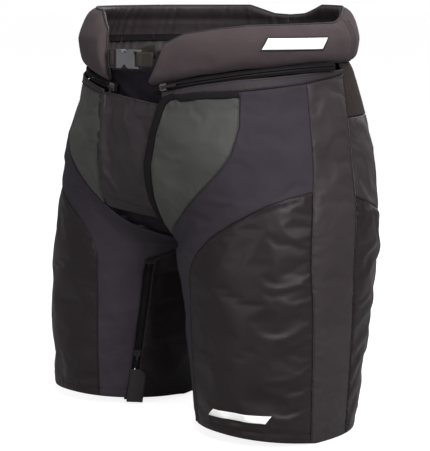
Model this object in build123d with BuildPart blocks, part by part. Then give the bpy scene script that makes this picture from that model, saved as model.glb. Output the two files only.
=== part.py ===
"""Hockey pants: a padded shell with two legs, a padded belt that buckles in front, and four zippers.

Millimetres. +Z is up, -Y is the front and +X is the wearer's left. The pants stand on their hems, and the
origin is on the floor under the middle of them. Each sewn panel, pad, zipper piece and buckle piece is a
solid of its own. Most pieces are built once, on the left, and mirrored for the right.
"""

import os
from math import asin, copysign, cos, pi, radians, sin, sqrt

from build123d import *

os.makedirs("parts", exist_ok=True)

# ---------------------------------------------------------------- driving dimensions
CROTCH_Z = 250.0  # height of the crotch point
BLEND_H = 130.0  # height over which the two legs become one waist
CLOTH = 3.0  # outer fabric with its lining
LAYER_GAP = 0.5  # space between two layers
SEAM_GAP = 0.0008  # half the space between neighbouring panels, as a share of the way round
HEM_H = 15.0  # height of the folded hem
ZIP_GAP = 6.5  # half the space between the panels beside an inseam zipper
WEBBING_W = 20.0  # waist webbing
WEBBING_T = 1.3
BELT_T = 2.5  # belt cover
BELT_FOAM_T = 10.0
LINING_T = 1.5

# height, leg centre x, leg centre y, inner edge x, outer half-width, half-depth
LEG_STATIONS = [
    (0.0, 157.0, -39.0, 57.0, 100.0, 114.0),
    (120.0, 150.0, -29.0, 38.0, 112.0, 130.0),
    (200.0, 144.0, -19.0, 23.0, 120.0, 139.0),
    (250.0, 139.0, -12.0, 0.0, 122.0, 144.0),
    (380.0, 130.0, -5.0, 0.0, 130.0, 150.0),
]
# height, half-width, depth of the front, depth of the back
WAIST_STATIONS = [
    (250.0, 260.0, 158.0, 138.0),
    (290.0, 254.0, 166.0, 160.0),
    (330.0, 246.0, 171.0, 176.0),
    (390.0, 236.0, 172.0, 180.0),
    (440.0, 224.0, 172.0, 178.0),
    (490.0, 208.0, 170.0, 172.0),
    (545.0, 206.0, 170.0, 170.0),
    (600.0, 190.0, 152.0, 160.0),
]
# height, and how much the front and the back corners between middle and side stand out
CORNERS = [
    (250.0, 0.09, 0.06), (300.0, 0.083, 0.052), (330.0, 0.079, 0.036),
    (400.0, 0.053, 0.026), (450.0, 0.0, 0.01), (490.0, 0.0, 0.0),
]
LEG_POWER = 2.3
WAIST_POWER = 2.25
START = 0.01  # the outline starts and ends this far from the middle seam
# Heights where the panels take a section, closer together where the legs join and at the slanted waist edge.
GRID = [0, 40, 80, 120, 160, 200, 225, 238, 246, 250, *range(254, 340, 6), 350, 370, 400, 425, 450,
        *range(463, 500, 5)]

# Seams as (height, share of the way round). The way runs from the inseam round the front (0.25), the side
# (0.5) and the back (0.75).
FLY_EDGE_LEFT = [(255, 0.02), (290, 0.03), (337, 0.035), (373, 0.037), (417, 0.052), (452, 0.072), (470, 0.1)]
FLY_EDGE_RIGHT = [(255, 0.02), (285, 0.08), (305, 0.113), (364, 0.088), (387, 0.08), (475, 0.08)]
SATIN_EDGE = [(262, 0.05), (290, 0.095), (330, 0.155), (359, 0.19), (393, 0.228), (430, 0.255), (475, 0.27)]
STRETCH_LOW = [(0, 0.185), (40, 0.178), (136, 0.152), (187, 0.182), (226, 0.215), (254, 0.23), (283, 0.235),
               (310, 0.283), (325, 0.338), (336, 0.415)]
STRIPE_FRONT = [(0, 0.463), (62, 0.46), (201, 0.445), (336, 0.415), (424, 0.432), (490, 0.448)]
STRIPE_REAR = [(0, 0.545), (59, 0.537), (192, 0.512), (327, 0.517), (434, 0.555), (500, 0.578)]
SEAT_LOW = [(250, 0.99), (270, 0.97), (285, 0.8), (300, 0.65), (320, 0.568), (331, 0.527)]
ZIP_LINE = [(0, 0.0975), (60, 0.0935), (120, 0.0905), (180, 0.092), (225, 0.0975)]

# The belt's and the waist band's edges as (share of the way round, height).
BAND_LOW = [(0.06, 463), (0.17, 473), (0.27, 476), (0.44, 485), (0.57, 496)]
BAND_HIGH = [(0.06, 470), (0.17, 484), (0.27, 492), (0.44, 499), (0.57, 503)]
BELT_LOW = [(0.055, 483), (0.17, 498), (0.28, 507), (0.43, 513), (1.0, 514)]
WING_HIGH_LEFT = [(0.055, 487), (0.09, 538), (0.14, 552), (0.21, 558), (0.3, 563), (0.56, 566), (0.6, 572)]
WING_HIGH_RIGHT = [(0.08, 505), (0.083, 530), (0.095, 556), (0.155, 583), (0.3, 588), (0.6, 590)]
BACK_HIGH_LEFT = [(0.6, 572), (0.68, 588), (0.88, 590), (0.95, 577), (1.0, 575)]
BACK_HIGH_RIGHT = [(0.6, 590), (0.88, 590), (0.95, 577), (1.0, 575)]


# ---------------------------------------------------------------- the body's surface
def along(table, value):
    """A table's figure at a value, on straight lines between its rows."""
    for low, high in zip(table, table[1:]):
        if value <= high[0]:
            share = max(0.0, (value - low[0]) / (high[0] - low[0]))
            row = [a + share * (b - a) for a, b in zip(low[1:], high[1:])]
            return row if len(row) > 1 else row[0]
    return list(table[-1][1:]) if len(table[-1]) > 2 else table[-1][1]


def rounded(value, power):
    """A sine or cosine bent to a superellipse's exponent."""
    return copysign(abs(value) ** (2 / power), value)


def leg_point(s, z, inset):
    cx, cy, inner_x, outer_a, b = along(LEG_STATIONS, z)
    angle = 2 * pi * s
    a = (cx - inner_x) if cos(angle) > 0 else outer_a
    x = cx - (a - inset) * rounded(cos(angle), LEG_POWER)
    return x, cy - (b - inset) * rounded(sin(angle), LEG_POWER)


def waist_point(s, z, inset):
    width, front, back = along(WAIST_STATIONS, z)
    angle = pi * (s - START) / (1 - 2 * START)
    depth, corner = (front, 0) if cos(angle) > 0 else (back, 1)
    grow = 1 + along(CORNERS, z)[corner] * sin(2 * angle) ** 2
    x = grow * (width - inset) * rounded(abs(sin(angle)), WAIST_POWER)
    return x, -grow * (depth - inset) * rounded(cos(angle), WAIST_POWER)


def blend_at(z):
    """0 where the legs are apart, 1 where they are one waist."""
    share = min(1.0, max(0.0, (z - CROTCH_Z) / BLEND_H))
    return sqrt(1 - (1 - share) ** 2)


def body_point(s, z, inset=0.0):
    """A point of the left half's outline at a height, a given distance inside the outer surface."""
    w = blend_at(z)
    leg_x, leg_y = leg_point(s, z, inset)
    waist_x, waist_y = waist_point(s, z, inset)
    return (1 - w) * leg_x + w * waist_x, (1 - w) * leg_y + w * waist_y


def share_at_x(x, z, back=False):
    """The share of the way round where the front, or the back, has a given x."""
    near, far = (1 - START, 0.6) if back else (START, 0.4)
    for _ in range(40):
        middle = (near + far) / 2
        if body_point(middle, z)[0] < abs(x):
            near = middle
        else:
            far = middle
    return near


# ---------------------------------------------------------------- kinds of piece
def levels_between(low, high):
    return [low] + [z for z in GRID if low + 3 < z < high - 3] + [high]


def spaced(start, end, count):
    return [start + (end - start) * i / (count - 1) for i in range(count)]


def layered_loft(sections):
    """A sheet from horizontal sections, each a height with its outer and its inner row of points."""
    with BuildPart() as layer:
        for z, outer, inner in sections:
            with BuildSketch(Plane.XY.offset(z)):
                with BuildLine():
                    Spline(*outer)
                    Spline(*inner)
                    Line(outer[0], inner[0])
                    Line(outer[-1], inner[-1])
                make_face()
        loft(ruled=True)
    return layer.part


def sheet(low, high, s_from, s_to, inset=0.0, thick=CLOTH, count=13):
    """A sheet of the left half, between two heights and two seams that are functions of the height."""
    sections = []
    for z in levels_between(low, high):
        shares = spaced(s_from(z) + SEAM_GAP, s_to(z) - SEAM_GAP, count)
        outer = [body_point(s, z, inset) for s in shares]
        inner = [body_point(s, z, inset + thick) for s in shares]
        sections.append((z, outer, inner))
    return layered_loft(sections)


def middle_sheet(low, high, x_from, x_to, inset, thick, back=False, count=11):
    """A sheet across the middle of the front or the back, between two x that are functions of the height."""
    sections = []
    for z in levels_between(low, high):
        outer, inner = [], []
        for x in spaced(x_from(z), x_to(z), count):
            s = share_at_x(x, z, back)
            outer.append((x, body_point(s, z, inset)[1]))
            inner.append((x, body_point(s, z, inset + thick)[1]))
        sections.append((z, outer, inner))
    return layered_loft(sections)


def ring_point(u, z, inset):
    """A point all the way round the waist: 0 to 1 is the left half, from front to back, 2 to 1 the right."""
    side, s = (1, u) if u <= 1 else (-1, 2 - u)
    x, y = body_point(min(s, 1 - START), z, inset)
    return side * x, y


def band(turns, low, high, insets, thick):
    """A band round the waist with vertical sections. insets run from its low edge to its high edge."""
    with BuildPart() as strip:
        for u in turns:
            heights = spaced(low(u), high(u), len(insets))
            origin = Vector(*ring_point(u, heights[0], 0), 0)
            inward = (Vector(*ring_point(u, heights[0], 10), 0) - origin).normalized()
            points = [Vector(*ring_point(u, z, inset), 0) for z, inset in zip(heights, insets)]
            depths = [(point - origin).dot(inward) for point in points]
            outside = list(zip(depths, heights))
            inside = [(depth + thick, z) for depth, z in reversed(outside)]
            with BuildSketch(Plane(origin, x_dir=inward, z_dir=inward.cross(Vector(0, 0, 1)))):
                with BuildLine():
                    Polyline(*outside, *inside, close=True)
                make_face()
        loft(ruled=True)
    return strip.part


def save(piece, label):
    """Write one piece as a node of its own."""
    piece.label = label
    export_step(piece, f"parts/{label}.step")


def save_pair(piece, name):
    """Write a left piece and its mirror image."""
    save(piece, f"{name}_left")
    save(mirror(piece, about=Plane.YZ), f"{name}_right")


def at(table):
    """A table's figure as a function."""
    return lambda value: along(table, value)


# ---------------------------------------------------------------- shell panels
ZIP_SHARE = ZIP_GAP / 745  # the leg is about 745 mm round
BINDING_SHARE = 0.016
YOKE_Z = 437.0  # lower edge of the elastic yoke
REAR_TOP = 503.0  # top of the rear panels
WAIST_EDGE = [(z, u) for u, z in BAND_LOW]  # the panels' slanted top edge, by height


def beside_zip(z, offset):
    return along(ZIP_LINE, z) + offset


CROTCH_SEAM_LEFT = [(250, START), (262, 0.05), (290, 0.095)]
CROTCH_SEAM_RIGHT = [(250, START), (285, 0.08), (306, 0.114)]


def stretch_from(z, crotch_seam):
    """Inner edge of a stretch panel: the zipper, the crotch seam, and then the satin panel's edge."""
    if z <= 225:
        return beside_zip(z, ZIP_SHARE)
    if z <= 250:
        return along([(225, beside_zip(225, ZIP_SHARE)), (238, 0.05), (250, START)], z)
    return along(crotch_seam if z < crotch_seam[-1][0] else SATIN_EDGE, z)


def stretch_to(z):
    return along(STRETCH_LOW if z <= 336 else STRIPE_FRONT, z)


def rear_to(z):
    """Inner edge of the lower rear panel: round to the zipper, then up to the crotch and the seat seam."""
    if z <= 225:
        return 1 + beside_zip(z, -ZIP_SHARE)
    crotch = [(225, 1 + beside_zip(225, -ZIP_SHARE)), (238, 1.045), (249, 1.0), (253, 1 - START)]
    return along(crotch + SEAT_LOW[1:], z)


def seat_from(z):
    return along(SEAT_LOW if z <= 331 else STRIPE_REAR, z)


def below_waist(z, seam):
    """A panel's front seam, or further back where the slanted top edge has already cut the panel off."""
    return max(along(seam, z), along(WAIST_EDGE, z)) if z > WAIST_EDGE[0][0] else along(seam, z)


fly_left = sheet(262, 455, at(FLY_EDGE_LEFT), lambda z: along(FLY_EDGE_LEFT, z) + BINDING_SHARE, count=5)
save(fly_left, "fly_binding")

satin_left = sheet(
    262, 475,
    lambda z: max(along(FLY_EDGE_LEFT, z) + BINDING_SHARE, below_waist(z, [(0, 0.0)])),
    at(SATIN_EDGE),
)
save(satin_left, "satin_front_panel_left")

satin_right = sheet(308, 475, lambda z: below_waist(z, FLY_EDGE_RIGHT), at(SATIN_EDGE))
save(mirror(satin_right, about=Plane.YZ), "satin_front_panel_right")

for word, crotch_seam in (("left", CROTCH_SEAM_LEFT), ("right", CROTCH_SEAM_RIGHT)):
    stretch = sheet(
        0, 483,
        lambda z: stretch_from(z, crotch_seam) if z < 470 else below_waist(z, SATIN_EDGE),
        stretch_to,
        count=17,
    )
    save(stretch if word == "left" else mirror(stretch, about=Plane.YZ), f"front_stretch_panel_{word}")

save_pair(sheet(0, 334, at(STRETCH_LOW), at(STRIPE_FRONT)), "lower_front_panel")
save_pair(sheet(0, 494, lambda z: below_waist(z, STRIPE_FRONT), at(STRIPE_REAR), count=7), "side_stripe")
save_pair(sheet(YOKE_Z, REAR_TOP, at(STRIPE_REAR), lambda z: 1 - START, count=25), "rear_stretch_yoke")
save_pair(sheet(258, YOKE_Z - LAYER_GAP, seat_from, lambda z: 1 - START, count=25), "seat_panel")
save_pair(sheet(0, 329, at(STRIPE_REAR), rear_to, count=25), "lower_rear_panel")

hem_inset = CLOTH + LAYER_GAP
hem = sheet(
    0, HEM_H,
    lambda z: beside_zip(z, 0.03), lambda z: 1 + beside_zip(z, -0.03),
    inset=hem_inset, thick=2.0, count=41,
)
save_pair(hem, "leg_hem")

# The waist band, which the waist zipper is sewn to, and the gathered gusset behind that zipper.
band_turns = spaced(0.085, 0.57, 22)
waist_band = band(band_turns, lambda u: along(BAND_LOW, u) + LAYER_GAP, at(BAND_HIGH), (0, 0), CLOTH)
save_pair(waist_band, "waist_band")
GUSSET_INSET = 15.5
GUSSET_TURNS = spaced(0.1, 1.9, 61)
GUSSET_LOW, GUSSET_HIGH = 450.0, 519.0
gusset = band(GUSSET_TURNS, lambda u: GUSSET_LOW, lambda u: GUSSET_HIGH, (GUSSET_INSET,) * 2, LINING_T)
save(gusset, "waist_gusset")

# ---------------------------------------------------------------- fly
FLAP_INSET = 4.4
FLAP_T = 2.0
FLY_GUSSET_INSET = 15.5
TUCK = 6.0  # how far the fly's cloth reaches under the panels


def fly_x(edge, z):
    return body_point(along(edge, z), z)[0] + TUCK


FLAP_RIGHT = [(284, 30), (288, 19), (294, -20), (304, -73), (323, -78), (348, -77), (372, -73), (475, -71)]
FLAP_TOP = [(455, 62), (457, 50), (469, -48)]
GUSSET_REACH = [(380, 99.0), (420, 62.0)]  # how far to the side the fly gusset reaches

flap = middle_sheet(
    284, 469,
    at(FLAP_RIGHT),
    lambda z: fly_x(FLY_EDGE_LEFT, z) if z <= 452 else along(FLAP_TOP, z),
    FLAP_INSET, FLAP_T,
)
save(flap, "fly_flap")

fly_gusset = middle_sheet(
    275, 500,
    lambda z: -min(fly_x(FLY_EDGE_RIGHT, z), along(GUSSET_REACH, z)),
    lambda z: min(fly_x(FLY_EDGE_LEFT, z), along(GUSSET_REACH, z)),
    FLY_GUSSET_INSET, LINING_T,
)
save(fly_gusset, "fly_gusset")

# ---------------------------------------------------------------- belt
BULGE = (-1.0, -8.0, -2.0)  # how far inside the outline the belt's low, middle and high edge lie
FOAM_IN = [inset + BELT_T + LAYER_GAP for inset in BULGE]
LINING_IN = [inset + BELT_T + BELT_FOAM_T + 2 * LAYER_GAP for inset in BULGE]
WING_START_LEFT, WING_START_RIGHT = 0.055, 0.08
WING_END = 0.598
BACK_START = 0.602


def belt_low(u):
    return along(BELT_LOW, min(u, 2 - u))


def belt_high(u):
    """The belt's top edge all the way round, which is lower on the left."""
    if u <= 1:
        return along(WING_HIGH_LEFT if u < 0.6 else BACK_HIGH_LEFT, u)
    return along(WING_HIGH_RIGHT if u > 1.4 else BACK_HIGH_RIGHT, 2 - u)


BELT_PARTS = {
    "left": spaced(WING_START_LEFT, WING_END, 26),
    "back": spaced(BACK_START, 2 - BACK_START, 29),
    "right": spaced(2 - WING_END, 2 - WING_START_RIGHT, 26),
}
for word, turns in BELT_PARTS.items():
    save(band(turns, belt_low, belt_high, BULGE, BELT_T), f"belt_cover_{word}")
    save(band(turns, belt_low, belt_high, FOAM_IN, BELT_FOAM_T), f"belt_foam_{word}")
lining_turns = spaced(WING_START_LEFT, 2 - WING_START_RIGHT, 81)
save(band(lining_turns, belt_low, belt_high, LINING_IN, LINING_T), "belt_lining")

# ---------------------------------------------------------------- protective pads inside the shell
GUARD_T = 2.5
GUARD_INSET = CLOTH + 1.5
PAD_INSET = GUARD_INSET + GUARD_T + LAYER_GAP
THIGH_PAD_T = 10.0
HIP_PAD_T = 12.0

save_pair(sheet(70, 240, lambda z: 0.16, lambda z: 0.44, GUARD_INSET, GUARD_T), "thigh_guard")
save_pair(sheet(55, 240, lambda z: 0.15, lambda z: 0.46, PAD_INSET, THIGH_PAD_T), "thigh_pad")
save_pair(sheet(325, 440, lambda z: 0.36, lambda z: 0.62, GUARD_INSET, HIP_PAD_T), "hip_pad")
TAILBONE_X = 55.0
tailbone = middle_sheet(
    300, 440, lambda z: -TAILBONE_X, lambda z: TAILBONE_X, GUARD_INSET, HIP_PAD_T, back=True
)
save(tailbone, "tailbone_pad")


# ---------------------------------------------------------------- zippers
# Each zipper has a frame of its own: X across the chain, Y into the body and Z along the chain. Y is 0 at the
# outer fabric. The two stringers, each a tape with its row of teeth, stand apart by the slider's web.
TAPE_Y = (7.6, 8.4)
TEETH_Y = (5.5, 7.3)
TEETH_X = (0.7, 3.4)
SLIDER_HALF_W = 4.8
SLIDER_HALF_L = 5.0
PLATE_T = 1.2
PIN_R = 0.8
EYE_R = 1.9
EYE_Y = 1.7
EYE_HALF_W = 1.7
EYE_OFF = 3.0  # from the slider's middle to the pull's pin
PULL_T = 1.4


def block(x_range, y_range, z_range, mode=Mode.ADD):
    """A plain block of the current part, by its limits."""
    ranges = (x_range, y_range, z_range)
    with Locations(Vector(*[(low + high) / 2 for low, high in ranges])):
        Box(*[high - low for low, high in ranges], mode=mode)


def slider(hanging):
    """A zipper slider: two plates, the web between the stringers, flanges and the pull's ears and pin."""
    half_w, half_l = SLIDER_HALF_W, SLIDER_HALF_L
    front = (TEETH_Y[0] - 0.4 - PLATE_T, TEETH_Y[0] - 0.4)
    back = (TAPE_Y[1] + 0.4, TAPE_Y[1] + 0.4 + PLATE_T)
    with BuildPart() as body:
        block((-half_w, half_w), front, (-half_l, half_l))
        block((-half_w, half_w), back, (-half_l, half_l))
        block((-0.35, 0.35), (front[1], back[0]), (-1.5, 3.5))
        for side in (-1, 1):
            flange = sorted((side * (half_w - 0.8), side * half_w))
            block(flange, (front[1], TAPE_Y[0] - 0.4), (-half_l, half_l))
    with BuildPart() as bail:
        for side in (-1, 1):
            ear = sorted((side * (EYE_HALF_W + 0.3), side * (EYE_HALF_W + 1.2)))
            block(ear, (EYE_Y - 1.2, front[0]), (EYE_OFF - 1.4, EYE_OFF + 1.4))
        with BuildSketch(Plane.YZ.offset(-EYE_HALF_W - 1.2)):
            with Locations((EYE_Y, EYE_OFF)):
                Circle(PIN_R)
        extrude(amount=2 * (EYE_HALF_W + 1.2))
    return body.part + hung(bail.part, hanging)


def pull(length, hanging):
    """A pull tab with an eye round the slider's pin."""
    with BuildPart() as tab:
        with BuildSketch(Plane.YZ.offset(-EYE_HALF_W)):
            with Locations((EYE_Y, EYE_OFF)):
                Circle(EYE_R)
            with Locations((EYE_Y, EYE_OFF - EYE_R / 2 - length / 2)):
                Rectangle(PULL_T, length)
            with Locations((EYE_Y, EYE_OFF)):
                Circle(PIN_R + 0.05, mode=Mode.SUBTRACT)
        extrude(amount=2 * EYE_HALF_W)
    return hung(tab.part, hanging)


def hung(piece, hanging):
    """The bail as it is, or turned a quarter so that its pull hangs down across the chain."""
    if not hanging:
        return piece
    return Rot(0, 90, 0) * Pos(0, 0, -EYE_OFF) * piece


# Inseam zippers: straight, up the inner front of each leg.
INSEAM_LOW = Vector(72.5, -109.0, 4.0)
INSEAM_HIGH = Vector(33.0, -102.5, 228.0)
INSEAM_OUT = Vector(-0.858, -0.514, 0.0)
inseam_way = (INSEAM_HIGH - INSEAM_LOW).normalized()
INSEAM_LENGTH = 214.0
inseam_frame = Plane(INSEAM_LOW, x_dir=(INSEAM_OUT * -1).cross(inseam_way), z_dir=inseam_way)
INSEAM_TAPE_X = 10.0
INSEAM_SLIDER_AT = 76.0
INSEAM_PULL = 12.0

# Waist zippers: an arc in a plane that rises to the side.
WAIST_ARC_R = 181.6
WAIST_ARC_X, WAIST_ARC_Y, WAIST_ARC_Z = 39.4, 12.0, 476.4
WAIST_TILT = asin(0.177)
WAIST_TAPE_X = 5.5
WAIST_ARC_START = -91.0
WAIST_ARC_END = 2.0
WAIST_PULL = 26.0
HANGING_PULL = 8.0
arc_normal = Vector(-sin(WAIST_TILT), 0, cos(WAIST_TILT))
arc_right = Vector(cos(WAIST_TILT), 0, sin(WAIST_TILT))
arc_centre = Vector(WAIST_ARC_X, WAIST_ARC_Y, WAIST_ARC_Z)
waist_axis = Axis(arc_centre, arc_normal)


def waist_frame(angle):
    """The waist zipper's frame at an angle of its arc, -90 being the front."""
    out = arc_right * cos(radians(angle)) + Vector(0, 1, 0) * sin(radians(angle))
    return Plane(arc_centre + out * WAIST_ARC_R, x_dir=arc_normal, z_dir=out.cross(arc_normal))


def stringers(frame, part_x, part_y, finish):
    """Both stringers' tapes, or both rows of teeth, drawn out along the chain by the given operation."""
    with BuildPart() as rows:
        with BuildSketch(frame):
            for side in (-1, 1):
                with Locations((side * (part_x[0] + part_x[1]) / 2, (part_y[0] + part_y[1]) / 2)):
                    Rectangle(part_x[1] - part_x[0], part_y[1] - part_y[0])
        finish()
    return rows.part


def inseam_finish():
    extrude(amount=INSEAM_LENGTH)


def waist_finish():
    revolve(axis=waist_axis, revolution_arc=WAIST_ARC_END - WAIST_ARC_START)


for place, frame, tape_x, finish in (
    ("inseam", inseam_frame, INSEAM_TAPE_X, inseam_finish),
    ("waist", waist_frame(WAIST_ARC_START), WAIST_TAPE_X, waist_finish),
):
    save_pair(stringers(frame, (TEETH_X[0], tape_x), TAPE_Y, finish), f"{place}_zip_tape")
    save_pair(stringers(frame, TEETH_X, TEETH_Y, finish), f"{place}_zip_teeth")

inseam_at = Plane(INSEAM_LOW + inseam_way * INSEAM_SLIDER_AT, x_dir=inseam_frame.x_dir, z_dir=inseam_way)
save_pair(inseam_at.location * slider(False), "inseam_slider")
save_pair(inseam_at.location * pull(INSEAM_PULL, False), "inseam_pull")

WAIST_REST = {"left": -83.0, "right": -88.5}
for word, hanging, length in (("left", False, WAIST_PULL), ("right", True, HANGING_PULL)):
    where = waist_frame(WAIST_REST[word]).location
    for name, piece in (("waist_slider", slider(hanging)), ("waist_pull", pull(length, hanging))):
        placed = where * piece
        save(placed if word == "left" else mirror(placed, about=Plane.YZ), f"{name}_{word}")

# Hem tabs: sewn to the front edge of each inseam and closed over the zipper's lower end.
TAB_X = (-17.0, 8.0)
TAB_Y = (-2.8, -0.8)
TAB_Z = (0.0, 52.0)
TAB_CORNER = 12.0
tab_plane = Plane(inseam_frame.origin, x_dir=inseam_frame.x_dir, z_dir=inseam_frame.y_dir * -1)
with BuildPart() as hem_tab:
    with BuildSketch(tab_plane.offset(-TAB_Y[1])):
        with Locations(((TAB_X[0] + TAB_X[1]) / 2, (TAB_Z[0] + TAB_Z[1]) / 2)):
            Rectangle(TAB_X[1] - TAB_X[0], TAB_Z[1] - TAB_Z[0])
        fillet(vertices().group_by(Axis.X)[0].sort_by(Axis.Y)[-1], TAB_CORNER)
    extrude(amount=TAB_Y[1] - TAB_Y[0])
save_pair(hem_tab.part, "hem_tab")

# ---------------------------------------------------------------- front buckle
# Its frame: X along the webbing to the wearer's left, Y up and Z forwards, from the middle of its height.
buckle_frame = Plane((0, -168, 517), x_dir=(1, 0, 0), z_dir=(0, -1, 0))
CATCH_X = -15.0  # the socket's edge, which holds the prongs
SOCKET_X = (-26.0, 17.0)
SOCKET_HALF_H = 13.0
SOCKET_HALF_T = 4.5
CAVITY_HALF_H = 9.8
CAVITY_HALF_T = 2.7
CAVITY_END = 6.0
SLOT_HALF_H = WEBBING_W / 2 + 0.5
PLUG_HALF_T = 2.2
PRONG_PIVOT = (-23.5, 7.4)
PRONG_ROOT_R = 1.8
PRONG_CLEAR = 0.35
PRONG_TURN = 0.012  # radians each prong turns for a millimetre of the socket's travel


def slab(half_t, x_range, y_range, mode=Mode.ADD):
    """A rectangle of the buckle, as thick either way of its middle as given."""
    with BuildSketch(buckle_frame) as outline:
        with Locations(((x_range[0] + x_range[1]) / 2, (y_range[0] + y_range[1]) / 2)):
            Rectangle(x_range[1] - x_range[0], y_range[1] - y_range[0])
    extrude(outline.sketch, amount=half_t, both=True, mode=mode)


with BuildPart() as socket:
    slab(SOCKET_HALF_T, SOCKET_X, (-SOCKET_HALF_H, SOCKET_HALF_H))
    slab(CAVITY_HALF_T, (SOCKET_X[0] - 1, CAVITY_END), (-CAVITY_HALF_H, CAVITY_HALF_H), Mode.SUBTRACT)
    slab(CAVITY_HALF_T, (CATCH_X, -4.5), (-SOCKET_HALF_H - 1, SOCKET_HALF_H + 1), Mode.SUBTRACT)
    slab(SOCKET_HALF_T + 1, (9.5, 13.8), (-SLOT_HALF_H, SLOT_HALF_H), Mode.SUBTRACT)
    with BuildSketch(buckle_frame):
        for side in (-1, 1):
            with BuildLine():
                Polyline(
                    (-17, side * 13.5), (-11, side * 8), (-8, side * 8), (-2, side * 13.5), close=True
                )
            make_face()
    extrude(amount=SOCKET_HALF_T + 1, both=True, mode=Mode.SUBTRACT)
    slab(SOCKET_HALF_T, (13.8, SOCKET_X[1]), (-SLOT_HALF_H, SLOT_HALF_H), Mode.SUBTRACT)
    slab(1.6, (13.8, SOCKET_X[1] - 0.2), (-SOCKET_HALF_H, SOCKET_HALF_H))
save(socket.part, "buckle_socket")

with BuildPart() as plug:
    slab(PLUG_HALF_T, (-46.0, -27.2), (-SOCKET_HALF_H, SOCKET_HALF_H))
    for slot in ((-43.2, -39.2), (-36.2, -32.2)):
        slab(PLUG_HALF_T + 1, slot, (-SLOT_HALF_H, SLOT_HALF_H), Mode.SUBTRACT)
    slab(PLUG_HALF_T, (-27.2, -22.5), (-9.4, 9.4))
    slab(PLUG_HALF_T, (-22.5, -8.0), (-1.6, 1.6))
    with BuildSketch(buckle_frame):
        for side in (-1, 1):
            with Locations((PRONG_PIVOT[0], side * PRONG_PIVOT[1])):
                Circle(PRONG_ROOT_R + PRONG_CLEAR)
            with Locations((PRONG_PIVOT[0] + 1.5, side * PRONG_PIVOT[1])):
                Rectangle(3.4, 2 * (PRONG_ROOT_R + PRONG_CLEAR) + 1.2)
    extrude(amount=PLUG_HALF_T + 1, both=True, mode=Mode.SUBTRACT)
save(plug.part, "buckle_plug")


def prong_height(x):
    """The height of a prong's outer edge: its catch stays inside what the socket's travel uncovers."""
    return 9.4 + 0.8 * PRONG_TURN * max(0.0, x - CATCH_X) * (x - PRONG_PIVOT[0])


for word, side in (("upper", 1), ("lower", -1)):
    with BuildPart() as prong:
        with BuildSketch(buckle_frame):
            with BuildLine():
                edge = Polyline(
                    (PRONG_PIVOT[0], side * 9.1), (CATCH_X - 1, side * 9.4), (CATCH_X, side * 9.4)
                )
                hump = Spline(*[(x, side * prong_height(x)) for x in (CATCH_X, -12.5, -10.0, -8.0)])
                Polyline(
                    hump @ 1, (-6.2, side * 10.0), (-5.6, side * 8.6), (-7.0, side * 7.3),
                    (-12.0, side * 6.9), (PRONG_PIVOT[0], side * 6.4), edge @ 0,
                )
            make_face()
            with Locations((PRONG_PIVOT[0], side * PRONG_PIVOT[1])):
                Circle(PRONG_ROOT_R)
        extrude(amount=PLUG_HALF_T, both=True)
    save(prong.part, f"buckle_prong_{word}")


def ribbon(points, radius, label):
    """Webbing standing on edge along a path seen from above, in millimetres from the buckle's middle."""
    with BuildPart() as strap:
        with BuildSketch(Plane.XY.offset(buckle_frame.origin.Z - WEBBING_W / 2)):
            with BuildLine() as path:
                FilletPolyline(*[(x, buckle_frame.origin.Y + y) for x, y in points], radius=radius)
            trace(line_width=WEBBING_T)
        extrude(amount=WEBBING_W)
    save(strap.part, label)


# The right webbing threads the ladder lock, and its tail runs on behind the buckle, rising a little.
WEBBING_PATH = [(-53, 3.2), (-41.2, 3.2), (-41.2, -3.2), (-34.2, -3.2), (-34.2, 6.2), (-29, 6.2)]
TAIL_X = (-28.0, 44.0)
TAIL_RISE = 12.0
with BuildPart() as strap:
    with BuildSketch(Plane.XY.offset(buckle_frame.origin.Z - WEBBING_W / 2)):
        with BuildLine():
            FilletPolyline(*[(x, buckle_frame.origin.Y + y) for x, y in WEBBING_PATH], radius=1.0)
        trace(line_width=WEBBING_T)
    extrude(amount=WEBBING_W)
    with BuildSketch(buckle_frame.offset(-WEBBING_PATH[-1][1] - WEBBING_T / 2)):
        with BuildLine():
            Polyline(
                (TAIL_X[0], -WEBBING_W / 2), (TAIL_X[0], WEBBING_W / 2),
                (TAIL_X[1], TAIL_RISE + WEBBING_W / 2), (TAIL_X[1], TAIL_RISE - WEBBING_W / 2),
                close=True,
            )
        make_face()
    extrude(amount=WEBBING_T)
save(strap.part, "webbing_right")

# The left webbing is sewn in a loop round the socket's bar.
with BuildPart() as loop:
    with BuildSketch(Plane.XY.offset(buckle_frame.origin.Z - WEBBING_W / 2)):
        with Locations((15.3, buckle_frame.origin.Y)):
            SlotOverall(8.0, 6.8)
        with Locations((31.0, buckle_frame.origin.Y)):
            Rectangle(26.0, 2 * WEBBING_T)
        with Locations((15.3, buckle_frame.origin.Y)):
            SlotOverall(5.4, 4.2, mode=Mode.SUBTRACT)
    extrude(amount=WEBBING_W)
save(loop.part, "webbing_left")
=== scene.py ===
"""Hockey pants in Blender: detailed cloth, webbing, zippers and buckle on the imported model's frame."""

import bpy
import numpy as np
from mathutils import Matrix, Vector, bvhtree, geometry, kdtree


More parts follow.
